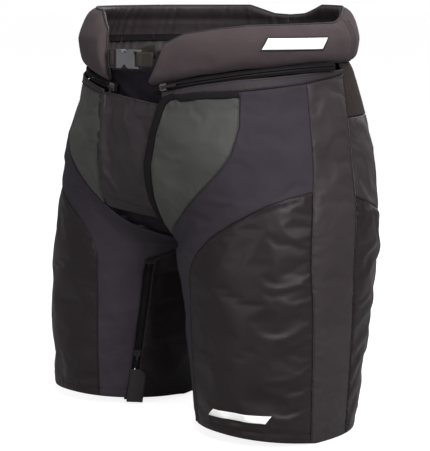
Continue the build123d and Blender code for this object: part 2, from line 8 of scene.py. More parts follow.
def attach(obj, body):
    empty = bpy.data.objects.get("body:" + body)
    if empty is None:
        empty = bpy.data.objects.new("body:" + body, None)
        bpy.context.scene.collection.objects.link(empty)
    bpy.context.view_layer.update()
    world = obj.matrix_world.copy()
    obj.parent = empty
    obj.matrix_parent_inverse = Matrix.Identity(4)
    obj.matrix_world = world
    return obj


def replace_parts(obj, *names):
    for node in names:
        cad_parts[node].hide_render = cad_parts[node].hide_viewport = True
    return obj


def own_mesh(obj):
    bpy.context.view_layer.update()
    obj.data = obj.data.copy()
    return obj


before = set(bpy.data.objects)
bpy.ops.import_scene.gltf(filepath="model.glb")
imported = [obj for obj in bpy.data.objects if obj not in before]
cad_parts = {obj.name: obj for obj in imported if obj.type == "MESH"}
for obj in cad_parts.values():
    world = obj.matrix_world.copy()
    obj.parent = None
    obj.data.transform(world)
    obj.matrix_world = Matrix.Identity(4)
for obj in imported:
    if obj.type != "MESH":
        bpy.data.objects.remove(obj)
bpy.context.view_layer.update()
MM = 0.001

# ---------------- the body's surface, in millimetres as in the CAD
CROTCH_Z, BLEND_H = 250.0, 130.0  # an arch joins leg and waist over the crotch
EASY_LOW, EASY_H = 218, 172  # and an easier blend does it on the outside
# heights, each with the leg's middle, its inner edge, its half width outside and its half depth
LEG_STATIONS = np.array([
    (0, 157, -39, 57, 100, 114), (120, 150, -29, 38, 112, 130), (200, 144, -19, 23, 120, 139),
    (250, 139, -12, 0, 122, 144), (380, 130, -5, 0, 130, 150),
], float)
# heights, each with the waist's half width and its depth in front and behind
WAIST_STATIONS = np.array([
    (250, 260, 158, 138), (290, 254, 166, 160), (330, 246, 171, 176), (390, 236, 172, 180),
    (440, 224, 172, 178), (490, 208, 170, 172), (545, 206, 170, 170), (600, 190, 152, 160),
], float)
# how much fuller the waist is at its corners, in front and behind
CORNERS = np.array([
    (250, 0.09, 0.06), (300, 0.083, 0.052), (330, 0.079, 0.036), (400, 0.053, 0.026), (450, 0, 0.01),
    (490, 0, 0),
], float)
START = 0.01  # the share of a turn that the middle seams keep clear
# seams as heights and shares of a turn
FLY_EDGE_LEFT = [(255, 0.02), (290, 0.03), (337, 0.035), (373, 0.037), (417, 0.052), (452, 0.072), (470, 0.1)]
FLY_EDGE_RIGHT = [(255, 0.02), (285, 0.08), (305, 0.113), (364, 0.088), (387, 0.08), (475, 0.08)]
SATIN_EDGE = [(262, 0.05), (290, 0.095), (330, 0.155), (359, 0.19), (393, 0.228), (430, 0.255), (475, 0.27)]
STRETCH_LOW = [(0, 0.176), (30, 0.178), (70, 0.182), (115, 0.185), (161, 0.19), (198, 0.196), (220, 0.201),
               (238, 0.207), (257, 0.215), (278, 0.229), (302, 0.257), (317, 0.287), (327, 0.315),
               (337, 0.359), (343, 0.4173)]
STRIPE_FRONT = [(0, 0.4597), (63, 0.4547), (119, 0.4513), (173, 0.4456), (227, 0.4385), (254, 0.433),
                (280, 0.4262), (307, 0.4205), (333, 0.4175), (343, 0.4173), (385, 0.4206), (424, 0.4306),
                (457, 0.44), (490, 0.448)]
STRIPE_REAR = [(0, 0.5455), (77, 0.535), (134, 0.528), (191, 0.519), (226, 0.5155), (260, 0.5145),
               (293, 0.518), (326, 0.5245), (353, 0.529), (407, 0.5394), (447, 0.55), (488, 0.568),
               (500, 0.575)]
SEAT_LOW = [(250, 0.99), (270, 0.97), (285, 0.8), (300, 0.65), (320, 0.568), (331, 0.5253)]
STRETCH_TOP = 343  # where the lower front panel ends in a point
ZIP_LINE = [(0, 0.0975), (60, 0.0935), (120, 0.0905), (180, 0.092), (225, 0.0975)]
# edges as shares, of a turn for the band and of half the waist for the belt, and heights
BAND_LOW = [(0.06, 463), (0.17, 473), (0.27, 476), (0.44, 485), (0.57, 496)]
BAND_HIGH = [(0.06, 470), (0.17, 484), (0.27, 492), (0.44, 499), (0.57, 503)]
BELT_LOW = [(0.055, 483), (0.17, 498), (0.28, 507), (0.43, 513), (1.0, 514)]
WING_HIGH_LEFT = [(0.055, 487), (0.09, 538), (0.14, 552), (0.21, 558), (0.3, 563), (0.56, 566), (0.6, 572)]
WING_HIGH_RIGHT = [(0.08, 505), (0.083, 530), (0.095, 556), (0.155, 583), (0.3, 588), (0.6, 590)]
BACK_HIGH_LEFT = [(0.6, 572), (0.68, 588), (0.88, 590), (0.95, 577), (1.0, 575)]
BACK_HIGH_RIGHT = [(0.6, 590), (0.88, 590), (0.95, 577), (1.0, 575)]
ZIP_SHARE = 6.5 / 745  # half an inseam zipper's width, and the binding's width, as shares of a turn
BINDING_SHARE = 0.016
TURN = 720.0  # millimetres of cloth for one turn of a leg
BELT_ROUND = 615.0  # and for half a turn of the waist
YOKE_LOW, YOKE_TOP = 437, 514
BACK_MIDDLE = 0.99  # the share of a turn where the back's middle seam is
HEM_TUCK = 15.0  # how far the hem is turned in


def along(table, value):
    table = np.asarray(table, float)
    return np.interp(value, table[:, 0], table[:, 1])


def rounded(value, power):
    return np.sign(value) * np.abs(value) ** (2 / power)


def unit(t):
    """0 below 0, 1 above 1, and straight between."""
    return np.clip(t, 0, 1)


def smooth(t):
    """The same with an S between."""
    t = unit(t)
    return t * t * (3 - 2 * t)


def outline(s, z, inset):
    """x and y of the left half's outline, in millimetres, for arrays of shares and heights."""
    cx, cy, inner_x, outer_a, b = (np.interp(z, LEG_STATIONS[:, 0], LEG_STATIONS[:, k]) for k in range(1, 6))
    angle = 2 * np.pi * s
    a = np.where(np.cos(angle) > 0, cx - inner_x, outer_a)
    leg_x = cx - (a - inset) * rounded(np.cos(angle), 2.3)
    leg_y = cy - (b - inset) * rounded(np.sin(angle), 2.3)
    width, front, back = (np.interp(z, WAIST_STATIONS[:, 0], WAIST_STATIONS[:, k]) for k in range(1, 4))
    turn = np.pi * (s - START) / (1 - 2 * START)
    ahead = np.cos(turn) > 0
    grow = np.interp(z, CORNERS[:, 0], CORNERS[:, 1]), np.interp(z, CORNERS[:, 0], CORNERS[:, 2])
    grow = 1 + np.where(ahead, *grow) * np.sin(2 * turn) ** 2
    waist_x = grow * (width - inset) * rounded(np.abs(np.sin(turn)), 2.25)
    waist_y = -grow * (np.where(ahead, front, back) - inset) * rounded(np.cos(turn), 2.25)
    share = unit((z - CROTCH_Z) / BLEND_H)
    arch = np.sqrt(1 - (1 - share) ** 2)
    easy = smooth((z - EASY_LOW) / EASY_H)
    outer = smooth((np.minimum(s, 1 - s) - 0.07) / 0.13)  # 0 near the crotch's seam, and 1 outside
    w = arch + (easy - arch) * outer
    return (1 - w) * leg_x + w * waist_x, (1 - w) * leg_y + w * waist_y


def hem_lift(s, z):
    """The hems rise a little at the front and at the inseam."""
    return 13 * unit(np.cos(2 * np.pi * (s - 0.22))) ** 0.8 * unit(1 - z / 90) ** 1.5


def on_leg(side=1, inset=0.0):
    """A place on one half of the shell: pattern x is the way round, pattern y the height."""
    def place(p, out):
        s = p[:, 0] / TURN
        x, y = outline(s, p[:, 1], inset - out)
        return np.column_stack([side * x, y, p[:, 1] + hem_lift(s, p[:, 1])]) * MM
    return place


def on_ring(inset_at):
    """A place on the whole waist: pattern x is the way round from the front's middle, to the left first."""
    def place(p, out):
        u = p[:, 0] / BELT_ROUND
        s = np.minimum(np.where(u <= 1, u, 2 - u), 1 - START)
        x, y = outline(s, p[:, 1], inset_at(u, p[:, 1]) - out)
        return np.column_stack([np.where(u <= 1, x, -x), y, p[:, 1]]) * MM
    return place


def on_middle(inset, back=False):
    """A place on the middle of the front or the back: pattern x is x."""
    def place(p, out):
        near = np.full(len(p), 1 - START if back else START)
        far = np.full(len(p), 0.6 if back else 0.4)
        for _ in range(30):
            middle = (near + far) / 2
            small = outline(middle, p[:, 1], 0.0)[0] < np.abs(p[:, 0])
            near, far = np.where(small, middle, near), np.where(small, far, middle)
        y = outline(near, p[:, 1], inset - out)[1]
        return np.column_stack([-p[:, 0] if back else p[:, 0], y, p[:, 1]]) * MM
    return place


def on_plane(origin, right, up):
    """A place on a flat pattern in metres, from its middle."""
    origin, right, up = (np.array(v, float) for v in (origin, right, up))
    normal = np.cross(right, up)

    def place(p, out):
        flat = origin + (np.outer(p[:, 0], right) + np.outer(p[:, 1], up)) * MM
        return flat + np.outer(out, normal) * MM
    return place


# ---------------- patterns
class Pattern:
    """A cut piece: its flat points and triangles, and each point's distance from the edge and place along it.

    Sides are lists of points that close a loop, and rings are rows of points at given ways in from the edge.
    """

    def __init__(self, sides, spacing=4.0, edge_step=2.5, rings=(0.9, 2.0, 3.4)):
        loop, side_of, way = [], [], []
        for number, points in enumerate(sides):
            points = np.array(points, float)
            lengths = np.concatenate([[0], np.cumsum(np.hypot(*np.diff(points, axis=0).T))])
            steps = np.linspace(0, lengths[-1], max(2, int(lengths[-1] / edge_step) + 1))[:-1]
            loop += list(zip(*(np.interp(steps, lengths, points[:, k]) for k in (0, 1))))
            side_of += [number] * len(steps)
            way += list(steps)
        loop = np.array(loop)
        nxt = np.roll(loop, -1, axis=0)
        self.turned = (loop[:, 0] * nxt[:, 1] - nxt[:, 0] * loop[:, 1]).sum() < 0
        ahead = nxt - np.roll(loop, 1, axis=0)
        ahead /= np.maximum(np.linalg.norm(ahead, axis=1), 1e-9)[:, None]
        self.inward = np.column_stack([-ahead[:, 1], ahead[:, 0]]) * (-1 if self.turned else 1)
        self.loop, self.side_of, self.way = loop, np.array(side_of), np.array(way)
        self.tree = kdtree.KDTree(len(loop))
        for i, (x, y) in enumerate(loop):
            self.tree.insert((x, y, 0), i)
        self.tree.balance()
        low, high = loop.min(0), loop.max(0)
        rows = np.arange(low[1] + spacing / 2, high[1], spacing * 0.87)
        lattice = np.array([
            (x, y) for k, y in enumerate(rows)
            for x in np.arange(low[0] + (k % 2) * spacing / 2, high[0], spacing)
        ]).reshape(-1, 2)
        inside = lattice[self.contains(lattice)]
        inside = inside[self.near(inside)[0] > (rings[-1] if rings else 0) + spacing * 0.4]
        points = [loop]
        for ring in rings:
            inner = loop + self.inward * ring
            inner = inner[self.contains(inner)]
            points.append(inner[self.near(inner)[0] > ring * 0.85])
        flat = np.vstack(points + [inside])
        edges = [(i, (i + 1) % len(loop)) for i in range(len(loop))]
        got = geometry.delaunay_2d_cdt([Vector(p) for p in flat], edges, [], 1, 1e-4)
        self.flat = np.array([(v.x, v.y) for v in got[0]])
        faces = np.array([f for f in got[2] if len(f) == 3])
        a, b, c = (self.flat[faces[:, k]] for k in range(3))
        area = (b[:, 0] - a[:, 0]) * (c[:, 1] - a[:, 1]) - (b[:, 1] - a[:, 1]) * (c[:, 0] - a[:, 0])
        faces[area < 0] = faces[area < 0][:, ::-1]
        self.faces = faces[np.abs(area) > 1e-6]
        self.area = float(np.abs(area).sum() / 2)
        self.edge, nearest = self.near(self.flat)
        self.along = self.way[nearest]
        self.side = self.side_of[nearest]

    def near(self, points):
        found = [self.tree.find((x, y, 0)) for x, y in points]
        return np.array([f[2] for f in found]), np.array([f[1] for f in found], int)

    def contains(self, points):
        x, y = points[:, 0][:, None], points[:, 1][:, None]
        x0, y0 = self.loop.T
        x1, y1 = np.roll(self.loop, -1, axis=0).T
        crossing = (y0 > y) != (y1 > y)
        at = x0 + (y - y0) * (x1 - x0) / np.where(y1 == y0, 1e-9, y1 - y0)
        return (crossing & (x < at)).sum(1) % 2 == 1


def bumpy(p, scale, seed):
    """Smooth random height of flat points, about -1 to 1, from a seeded sum of waves."""
    r = np.random.default_rng(seed)
    total = np.zeros(len(p))
    for k in range(3):
        for _ in range(5):
            angle, phase = r.uniform(0, 2 * np.pi, 2)
            turns = 2 * np.pi * (1.6 ** k) * r.uniform(0.7, 1.3) / scale
            total += np.sin((p[:, 0] * np.cos(angle) + p[:, 1] * np.sin(angle)) * turns + phase) * 0.7 ** k
    return total / 4


def ripple(way, seed, length=12.0):
    """Puckers along a seam, about -1 to 1."""
    r = np.random.default_rng(seed)
    total = np.zeros(len(way))
    for k in range(6):
        turns = 2 * np.pi * way / (length * r.uniform(0.6, 1.9))
        total += np.sin(turns + r.uniform(0, 6.3)) * r.uniform(0.4, 1)
    strength = 0.55 + 0.45 * np.sin(2 * np.pi * way / (length * 5.3) + r.uniform(0, 6.3))
    return total / 2.6 * strength


def folds(p, lines):
    """Ridges, or valleys where the height is negative: (x0, y0, x1, y1, width, height)."""
    total = np.zeros(len(p))
    for x0, y0, x1, y1, width, height in lines:
        run = np.array([x1 - x0, y1 - y0])
        length = np.hypot(*run)
        t = ((p - (x0, y0)) @ run) / length ** 2
        off = ((p - (x0, y0)) @ np.array([-run[1], run[0]])) / length
        off = off - 0.12 * length * np.sin(np.pi * unit(t))
        ends = unit(np.minimum(t + 0.15, 1.15 - t) / 0.4)
        wide = width * (0.6 + 0.8 * unit(t))
        total += height * np.exp(-(off / wide) ** 2) * ends ** 2 * (3 - 2 * ends)
    return total


def seam_relief(seed, drop=1.2, reach=3.2, pucker=0.5, far=7.0, length=12.0, sides=None):
    """Cloth that rolls down into its seams, with puckers that run away from them."""
    def height(p, edge, way, side):
        roll = unit(edge / reach)
        down = -drop * (1 - np.sqrt(unit(1 - (1 - roll) ** 2)))
        fade = unit(edge / 1.5) * np.exp(-np.clip(edge - 3, 0, None) / far)
        amount = np.ones(len(p)) if sides is None else np.array([sides.get(k, 0.3) for k in side])
        waves = np.zeros(len(p))
        for k in np.unique(side):
            these = side == k
            waves[these] = ripple(way[these] + 0.35 * edge[these], seed + int(k), length)
        return down + pucker * amount * fade * waves
    return height


def mesh_piece(name, vertices, faces, materials, uv=None, smooth=True):
    data = bpy.data.meshes.new(name)
    data.from_pydata([tuple(v) for v in vertices], [], [tuple(int(i) for i in f) for f in faces])
    if uv is not None:
        layer = data.uv_layers.new(name="cloth")
        index = np.zeros(len(data.loops), int)
        data.loops.foreach_get("vertex_index", index)
        layer.data.foreach_set("uv", np.asarray(uv, np.float32)[index].ravel())
    for m in materials:
        data.materials.append(m)
    if smooth:
        data.polygons.foreach_set("use_smooth", np.ones(len(data.polygons), bool))
    data.update()
    obj = bpy.data.objects.new(name, data)
    bpy.context.scene.collection.objects.link(obj)
    return obj


THREAD_R = 0.42 * MM


def thread(starts, ends, outs):
    """Stitches as short threads, thin at their ends, with 12 vertices each."""
    run = ends - starts
    length = np.linalg.norm(run, axis=1, keepdims=True)
    run = run / np.maximum(length, 1e-9)
    across = np.cross(outs, run)
    across /= np.maximum(np.linalg.norm(across, axis=1, keepdims=True), 1e-9)
    up = np.cross(run, across)
    rings = []
    for t, wide, rise in ((0.0, 0.45, -0.6), (0.5, 1.0, 0.35), (1.0, 0.45, -0.6)):
        centre = starts + run * length * t + up * THREAD_R * rise
        for sx, sy in ((1, 0), (0, 1), (-1, 0), (0, -1)):
            rings.append(centre + (across * sx + up * sy) * THREAD_R * wide)
    vertices = np.stack(rings, axis=1).reshape(-1, 3)
    faces = []
    for k in range(len(starts)):
        b = 12 * k
        for ring in (0, 4):
            for j in range(4):
                a, c = b + ring + j, b + ring + (j + 1) % 4
                faces.append((a, c, c + 4, a + 4))
        faces.append((b + 3, b + 2, b + 1, b))
        faces.append((b + 8, b + 9, b + 10, b + 11))
    return vertices, faces


def stitch_line(pattern, side, offset, place, height, lift=0.1, pitch=3.6):
    """Stitches a given way inside one side of a pattern."""
    mask = pattern.side_of == side
    line = pattern.loop[mask] + pattern.inward[mask] * offset
    return stitch_path(line, place, height, lift, pitch, np.full(mask.sum(), offset), pattern.way[mask], side)


def stitch_path(line, place, height, lift=0.1, pitch=3.6, edge=None, way=None, side=0):
    """Stitches along a line of pattern points, each 0.72 of the pitch long."""
    line = np.array(line, float)
    lengths = np.concatenate([[0], np.cumsum(np.hypot(*np.diff(line, axis=0).T))])
    count = max(1, int(lengths[-1] / pitch))
    marks = np.arange(count) * pitch
    edge = np.full(len(line), 20.0) if edge is None else edge
    way = lengths if way is None else way
    ends = []
    for at in (marks, marks + pitch * 0.72):
        p = np.column_stack([np.interp(at, lengths, line[:, k]) for k in (0, 1)])
        e, w = np.interp(at, lengths, edge), np.interp(at, lengths, way)
        out = height(p, e, w, np.full(len(p), side)) + lift
        ends.append((place(p, out), place(p, out + 1.0)))
    outs = ends[0][1] - ends[0][0]
    outs /= np.maximum(np.linalg.norm(outs, axis=1, keepdims=True), 1e-9)
    return thread(ends[0][0], ends[1][0], outs)


PIECES = {}


def thicken(obj, thick, offset):
    solid = obj.modifiers.new("thickness", "SOLIDIFY")
    solid.thickness = thick * MM
    solid.offset = offset


def dress(obj, node=None):
    """Hides the CAD node that a piece stands for, if one is given."""
    if node:
        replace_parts(obj, node)


def cloth_piece(name, pattern, place, height, material, body="shell", thick=2.2, stitches=(), mirrored=False,
                seam_thread=None, sim=None):
    """A pattern sewn on: displaced, stitched, thickened and riding on its body."""
    out = height(pattern.flat, pattern.edge, pattern.along, pattern.side)
    vertices = place(pattern.flat, out)
    faces = pattern.faces[:, ::-1] if mirrored else pattern.faces
    obj = mesh_piece(name, vertices, faces, [material], uv=pattern.flat * MM)
    steps = np.zeros_like(vertices)
    if sim:
        steps = billow(obj, pattern, **sim)
    if thick:
        thicken(obj, thick, -1)
    if stitches:
        base, all_v, all_f = 0, [], []
        near = kdtree.KDTree(len(vertices))
        for i, v in enumerate(vertices):
            near.insert(v, i)
        near.balance()
        for v, f in stitches:
            all_v.append(v + steps[[near.find(q)[1] for q in v]])
            all_f += [tuple(i + base for i in face) for face in f]
            base += len(v)
        seam = mesh_piece(name + "_stitching", np.vstack(all_v), all_f, [seam_thread or THREAD])
        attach(seam, body)
    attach(obj, body)
    PIECES[name] = obj
    return obj


CLOTH_FRAMES = 14


def billow(obj, pattern, pressure, stretch, cap, pin=2.6):
    """Blender's cloth between the piece's own seams: it fills and wrinkles, and the mesh keeps the result.

    It returns each vertex's step, which is cap millimetres at most.
    """
    rest = np.array([v.co for v in obj.data.vertices])
    copy = obj.copy()
    copy.data = obj.data.copy()
    bpy.context.scene.collection.objects.link(copy)
    group = copy.vertex_groups.new(name="seams")
    for i, e in enumerate(pattern.edge):
        weight = float(unit(1.25 - e / pin))
        if weight > 0:
            group.add([i], weight, "REPLACE")
    cloth = copy.modifiers.new("cloth", "CLOTH")
    c = cloth.settings
    c.quality = 6
    c.mass = 0.3
    c.tension_stiffness = c.compression_stiffness = 12.0
    c.shear_stiffness = 6
    c.bending_stiffness = 0.35
    c.vertex_group_mass = "seams"
    c.shrink_min = -stretch
    c.use_pressure = True
    c.uniform_pressure_force = pressure
    c.effector_weights.gravity = 0
    cloth.collision_settings.use_collision = False
    cloth.point_cache.frame_start = 1
    cloth.point_cache.frame_end = CLOTH_FRAMES
    scene = bpy.context.scene
    for f in range(1, CLOTH_FRAMES + 1):
        scene.frame_set(f)
    shape = copy.evaluated_get(bpy.context.evaluated_depsgraph_get())
    moved = np.array([v.co for v in shape.data.vertices])
    step = moved - rest
    far = np.linalg.norm(step, axis=1, keepdims=True)
    step *= np.minimum(1, cap * MM / np.maximum(far, 1e-9))
    obj.data.vertices.foreach_set("co", (rest + step).astype(np.float32).ravel())
    obj.data.update()
    bpy.data.objects.remove(copy)
    scene.frame_set(1)
    return step


# ---------------- materials
def linear(hexcode):
    values = [int(hexcode[k:k + 2], 16) / 255 for k in (0, 2, 4)]
    return [v / 12.92 if v <= 0.04045 else ((v + 0.055) / 1.055) ** 2.4 for v in values] + [1.0]


def material(name, dark, light, rough=0.8, weave=None, period=1.4, bump=0.25, depth=0.25, mottle=35.0,
             sheen=0.0, sheen_tint="8a8a90", specular=0.5, metallic=0.0, coords="UV", grain=0.0):
    """A procedural finish. weave is twill, knit, plain, rib or None; period is its repeat in millimetres."""
    m = bpy.data.materials.new(name)
    m.use_nodes = True
    nodes, links = m.node_tree.nodes, m.node_tree.links
    shader = nodes["Principled BSDF"]
    shader.inputs["Metallic"].default_value = metallic
    shader.inputs["Specular IOR Level"].default_value = specular
    shader.inputs["Sheen Weight"].default_value = sheen
    shader.inputs["Sheen Roughness"].default_value = 0.45
    shader.inputs["Sheen Tint"].default_value = linear(sheen_tint)
    where = nodes.new("ShaderNodeTexCoord").outputs["UV" if coords == "UV" else "Object"]

    def noise_of(scale, detail=3.0):
        node = nodes.new("ShaderNodeTexNoise")
        node.inputs["Scale"].default_value = scale
        node.inputs["Detail"].default_value = detail
        links.new(where, node.inputs["Vector"])
        return node.outputs["Fac"]

    def wave_of(direction, repeat, distortion=0.0):
        node = nodes.new("ShaderNodeTexWave")
        node.bands_direction = direction
        node.inputs["Scale"].default_value = 0.31416 / (repeat * MM)
        node.inputs["Distortion"].default_value = distortion
        node.inputs["Detail Scale"].default_value = 2.0
        links.new(where, node.inputs["Vector"])
        return node.outputs["Fac"]

    def maths(kind, a, b):
        node = nodes.new("ShaderNodeMath")
        node.operation = kind
        for k, v in enumerate((a, b)):
            if isinstance(v, float):
                node.inputs[k].default_value = v
            else:
                links.new(v, node.inputs[k])
        return node.outputs[0]

    patches = noise_of(mottle)
    fine = noise_of(900.0, 2.0)
    if weave == "twill":
        threads = maths("MULTIPLY_ADD", wave_of("DIAGONAL", period, 0.6), 0.75)
    elif weave == "knit":
        threads = maths("MULTIPLY", wave_of("X", period, 0.4), wave_of("Y", period * 0.7, 0.4))
    elif weave == "plain":
        threads = maths("MAXIMUM", wave_of("X", period), wave_of("Y", period))
    elif weave == "rib":
        threads = wave_of("Y", period, 0.3)
    else:
        threads = fine
    colour = nodes.new("ShaderNodeMixRGB")
    colour.inputs["Color1"].default_value = linear(dark)
    colour.inputs["Color2"].default_value = linear(light)
    blend = maths("ADD", maths("MULTIPLY", patches, 0.7), maths("MULTIPLY", threads, 0.3 if weave else 0.2))
    links.new(blend, colour.inputs["Fac"])
    links.new(colour.outputs["Color"], shader.inputs["Base Color"])
    roughness = maths("ADD", maths("MULTIPLY", patches, 0.16), rough - 0.08)
    links.new(roughness, shader.inputs["Roughness"])
    height = maths("ADD", threads, maths("MULTIPLY", fine, 0.35 + grain))
    node = nodes.new("ShaderNodeBump")
    node.inputs["Strength"].default_value = bump
    node.inputs["Distance"].default_value = depth * MM
    links.new(height, node.inputs["Height"])
    links.new(node.outputs["Normal"], shader.inputs["Normal"])
    return m


SHELL_CLOTH = dict(weave="plain", period=0.9, depth=0.12, mottle=16)
HARD = dict(coords="Object", bump=0.1, depth=0.08, mottle=300)
MOULDED = dict(coords="Object", bump=0.08, depth=0.08, mottle=60)
SATIN = material("satin_twill", "232423", "424340", rough=0.62, weave="twill", period=2.3, bump=0.5,
                 depth=0.3, sheen=0.08, specular=0.22, mottle=16)
STRETCH = material("stretch_knit", "262228", "383339", rough=0.9, weave="knit", period=1.6, bump=0.4,
                   sheen=0.1, sheen_tint="6c6a78", specular=0.1, mottle=14)
NYLON = material("nylon_shell", "130e10", "221b1d", rough=0.45, specular=0.19, **SHELL_CLOTH)
STRIPE = material("stripe_nylon", "1e191b", "312b2d", rough=0.52, specular=0.22, **SHELL_CLOTH)
TRIM = material("nylon_trim", "1f1b1e", "322d30", rough=0.62, weave="plain", period=1.2, bump=0.3,
                depth=0.15, specular=0.18)
TAPE = material("black_tape", "0c0a0c", "181517", rough=0.8, weave="rib", period=1.5, bump=0.4,
                specular=0.12)
TEETH = material("zip_teeth", "121011", "221f1f", rough=0.6, coords="Object", specular=0.15)
KNIT = material("belt_knit", "342d2f", "4a4143", rough=0.9, weave="knit", period=1.1, bump=0.35,
                sheen=0.15, sheen_tint="8a8084", specular=0.1, mottle=22)
LINING = material("belt_lining", "221d20", "383134", rough=0.55, weave="plain", period=1.0, specular=0.25)
FOAM = material("foam", "3a3a3c", "4a4a4c", rough=0.95, bump=0.6, depth=0.6, specular=0.1, grain=0.8)
PLASTIC = material("guard_plastic", "cfcfca", "dddcd6", rough=0.45, coords="Object")
WEBBING = material("webbing", "282523", "3c3733", rough=0.85, weave="rib", period=1.8, bump=0.7,
                   depth=0.35, specular=0.12)
BUCKLE = material("buckle_grey", "4e4f51", "606062", rough=0.36, **MOULDED)
BUCKLE_DARK = material("buckle_black", "1c1c1d", "2b2b2c", rough=0.4, specular=0.4, **MOULDED)
METAL = material("slider_metal", "6d6a66", "93908a", rough=0.32, metallic=0.9, **HARD)
DARK_METAL = material("slider_enamel", "161415", "242122", rough=0.35, specular=0.4, **HARD)
CORD = material("pull_cord", "141315", "232125", rough=0.6, weave="rib", period=1.2, bump=0.5,
                specular=0.3)
THREAD = material("seam_thread", "0c0a0d", "141115", coords="Object", specular=0.15)
PALE_THREAD = material("pale_seam_thread", "0a080a", "120f12", coords="Object", specular=0.15)
GUSSET = material("gusset_knit", "100d12", "201b23", weave="knit", period=1.4, bump=0.4, sheen=0.06,
                  specular=0.12)
YOKE = material("yoke_knit", "1c1616", "312727", rough=0.85, weave="knit", period=1.5, bump=0.4,
                sheen=0.1, sheen_tint="5c5050", specular=0.1)
MARK = material("plain_mark", "e8e8e6", "f4f4f2", rough=0.5, coords="Object", specular=0.4)
MARK_EDGE = material("mark_edge", "141214", "1c191c", rough=0.6, coords="Object", specular=0.3)

# ---------------- shell panels
def seam_points(table, low, high, shift=0.0):
    """A seam's pattern points between two heights."""
    heights = [low] + [z for z, _ in table if low < z < high] + [high]
    return [((along(table, z) + shift) * TURN, z) for z in heights]


def waist_points(s_from, s_to, shift=0.0):
    """The shell's top edge between two shares of a turn."""
    return [(s * TURN, along(BAND_LOW, s) + shift) for s in np.linspace(s_from, s_to, 12)]


def hem_point(table):
    """Where a seam meets the hem."""
    return along(table, 0) * TURN, 0


def waist_z(table):
    """The height where a seam meets the waist edge."""
    z = 470.0
    for _ in range(8):
        z = float(along(BAND_LOW, along(table, z)))
    return z


def both(build):
    for side, word in ((1, "left"), (-1, "right")):
        build(side, word)


def panel(name, side, sides, height, cloth, stitched, hem=None, spacing=4.0, seam_thread=None, sim=None):
    """One of the shell's panels: stitched says which sides have a stitch line, and hem is its hem's line."""
    pattern = Pattern(sides, spacing)
    place = on_leg(side)
    stitches = [stitch_line(pattern, k, 1.9, place, height) for k in stitched]
    if hem:
        stitches.append(stitch_path(hem, place, height))
    obj = cloth_piece(name, pattern, place, height, cloth, stitches=stitches, mirrored=side < 0,
                      seam_thread=seam_thread, sim=sim)
    dress(obj, name)


def combined(*parts):
    """The sum of several heights."""
    return lambda p, edge, way, side: sum(part(p, edge, way, side) for part in parts)


def crumple(amount, scale, seed):
    """Wide soft bumps that leave the seams alone."""
    return lambda p, edge, way, side: amount * bumpy(p, scale, seed) * unit(edge / 8)


def creases(lines):
    """Single folds, fading at the seams."""
    return lambda p, edge, way, side: folds(p, lines) * unit(edge / 3)


def hem_folds(amount, seed):
    """The hem's stitch line: a shallow valley with small puckers across it."""
    def height(p, edge, way, side):
        line = np.exp(-((p[:, 1] - HEM_TUCK) / 2.2) ** 2)
        gather = np.exp(-((p[:, 1] - HEM_TUCK) / 9) ** 2)
        return -0.8 * line + amount * gather * ripple(p[:, 0], seed, 9.0)
    return height


def hem_line(s_from, s_to):
    """Where the turned-in hem is stitched."""
    return [(s * TURN, HEM_TUCK) for s in np.linspace(s_from, s_to, 20)]


def zip_side(low, high, shift):
    """A panel's edge along the inseam's zipper."""
    heights = np.linspace(low, high, 8)
    return [((along(ZIP_LINE, z) + shift) * TURN, z) for z in heights]


def build_lower_front(side, word):
    sides = [
        seam_points(STRETCH_LOW, 0, STRETCH_TOP), seam_points(STRIPE_FRONT, 0, STRETCH_TOP)[::-1],
        [hem_point(STRIPE_FRONT), hem_point(STRETCH_LOW)],
    ]
    right = 0.452 * TURN
    pulls = ((318, 0.1), (296, 0.6), (262, 0.3), (240, 0.9), (205, 0.5), (176, 1.0), (150, 0.4), (112, 0.8),
             (78, 0.5), (52, 0.7))
    lines = [(right - 1, z, right - 34 - 34 * f, z + 14 - 40 * f, 4.6, 0.55 + 0.9 * f) for z, f in pulls]
    panel(f"lower_front_panel_{word}", side, sides, combined(
        seam_relief(11, pucker=0.75, far=9, sides={0: 0.12, 1: 1.3, 2: 0.2}),
        creases(lines), crumple(1.1, 150, 12), hem_folds(0.6, 13)),
        NYLON, (0, 1), hem_line(0.19, 0.455), sim=dict(pressure=0.4, stretch=0.012, cap=3.5))


def build_stripe(side, word):
    front, rear = waist_z(STRIPE_FRONT), waist_z(STRIPE_REAR)
    s0, s1 = float(along(STRIPE_FRONT, front)), float(along(STRIPE_REAR, rear))
    sides = [
        seam_points(STRIPE_FRONT, 0, front), waist_points(s0, s1), seam_points(STRIPE_REAR, 0, rear)[::-1],
        [hem_point(STRIPE_REAR), hem_point(STRIPE_FRONT)],
    ]
    middle = 0.49 * TURN
    lines = [(middle - 22, z, middle + 24, z + 26, 7, 1.0) for z in (60, 118, 182, 232, 290, 342, 398, 440)]
    panel(f"side_stripe_{word}", side, sides, combined(
        seam_relief(21, pucker=0.55, sides={0: 1, 1: 0.6, 2: 1, 3: 0.2}),
        creases(lines), crumple(0.8, 90, 22), hem_folds(0.5, 23)),
        STRIPE, (0, 2), hem_line(0.468, 0.54), sim=dict(pressure=0.3, stretch=0.01, cap=3.0))


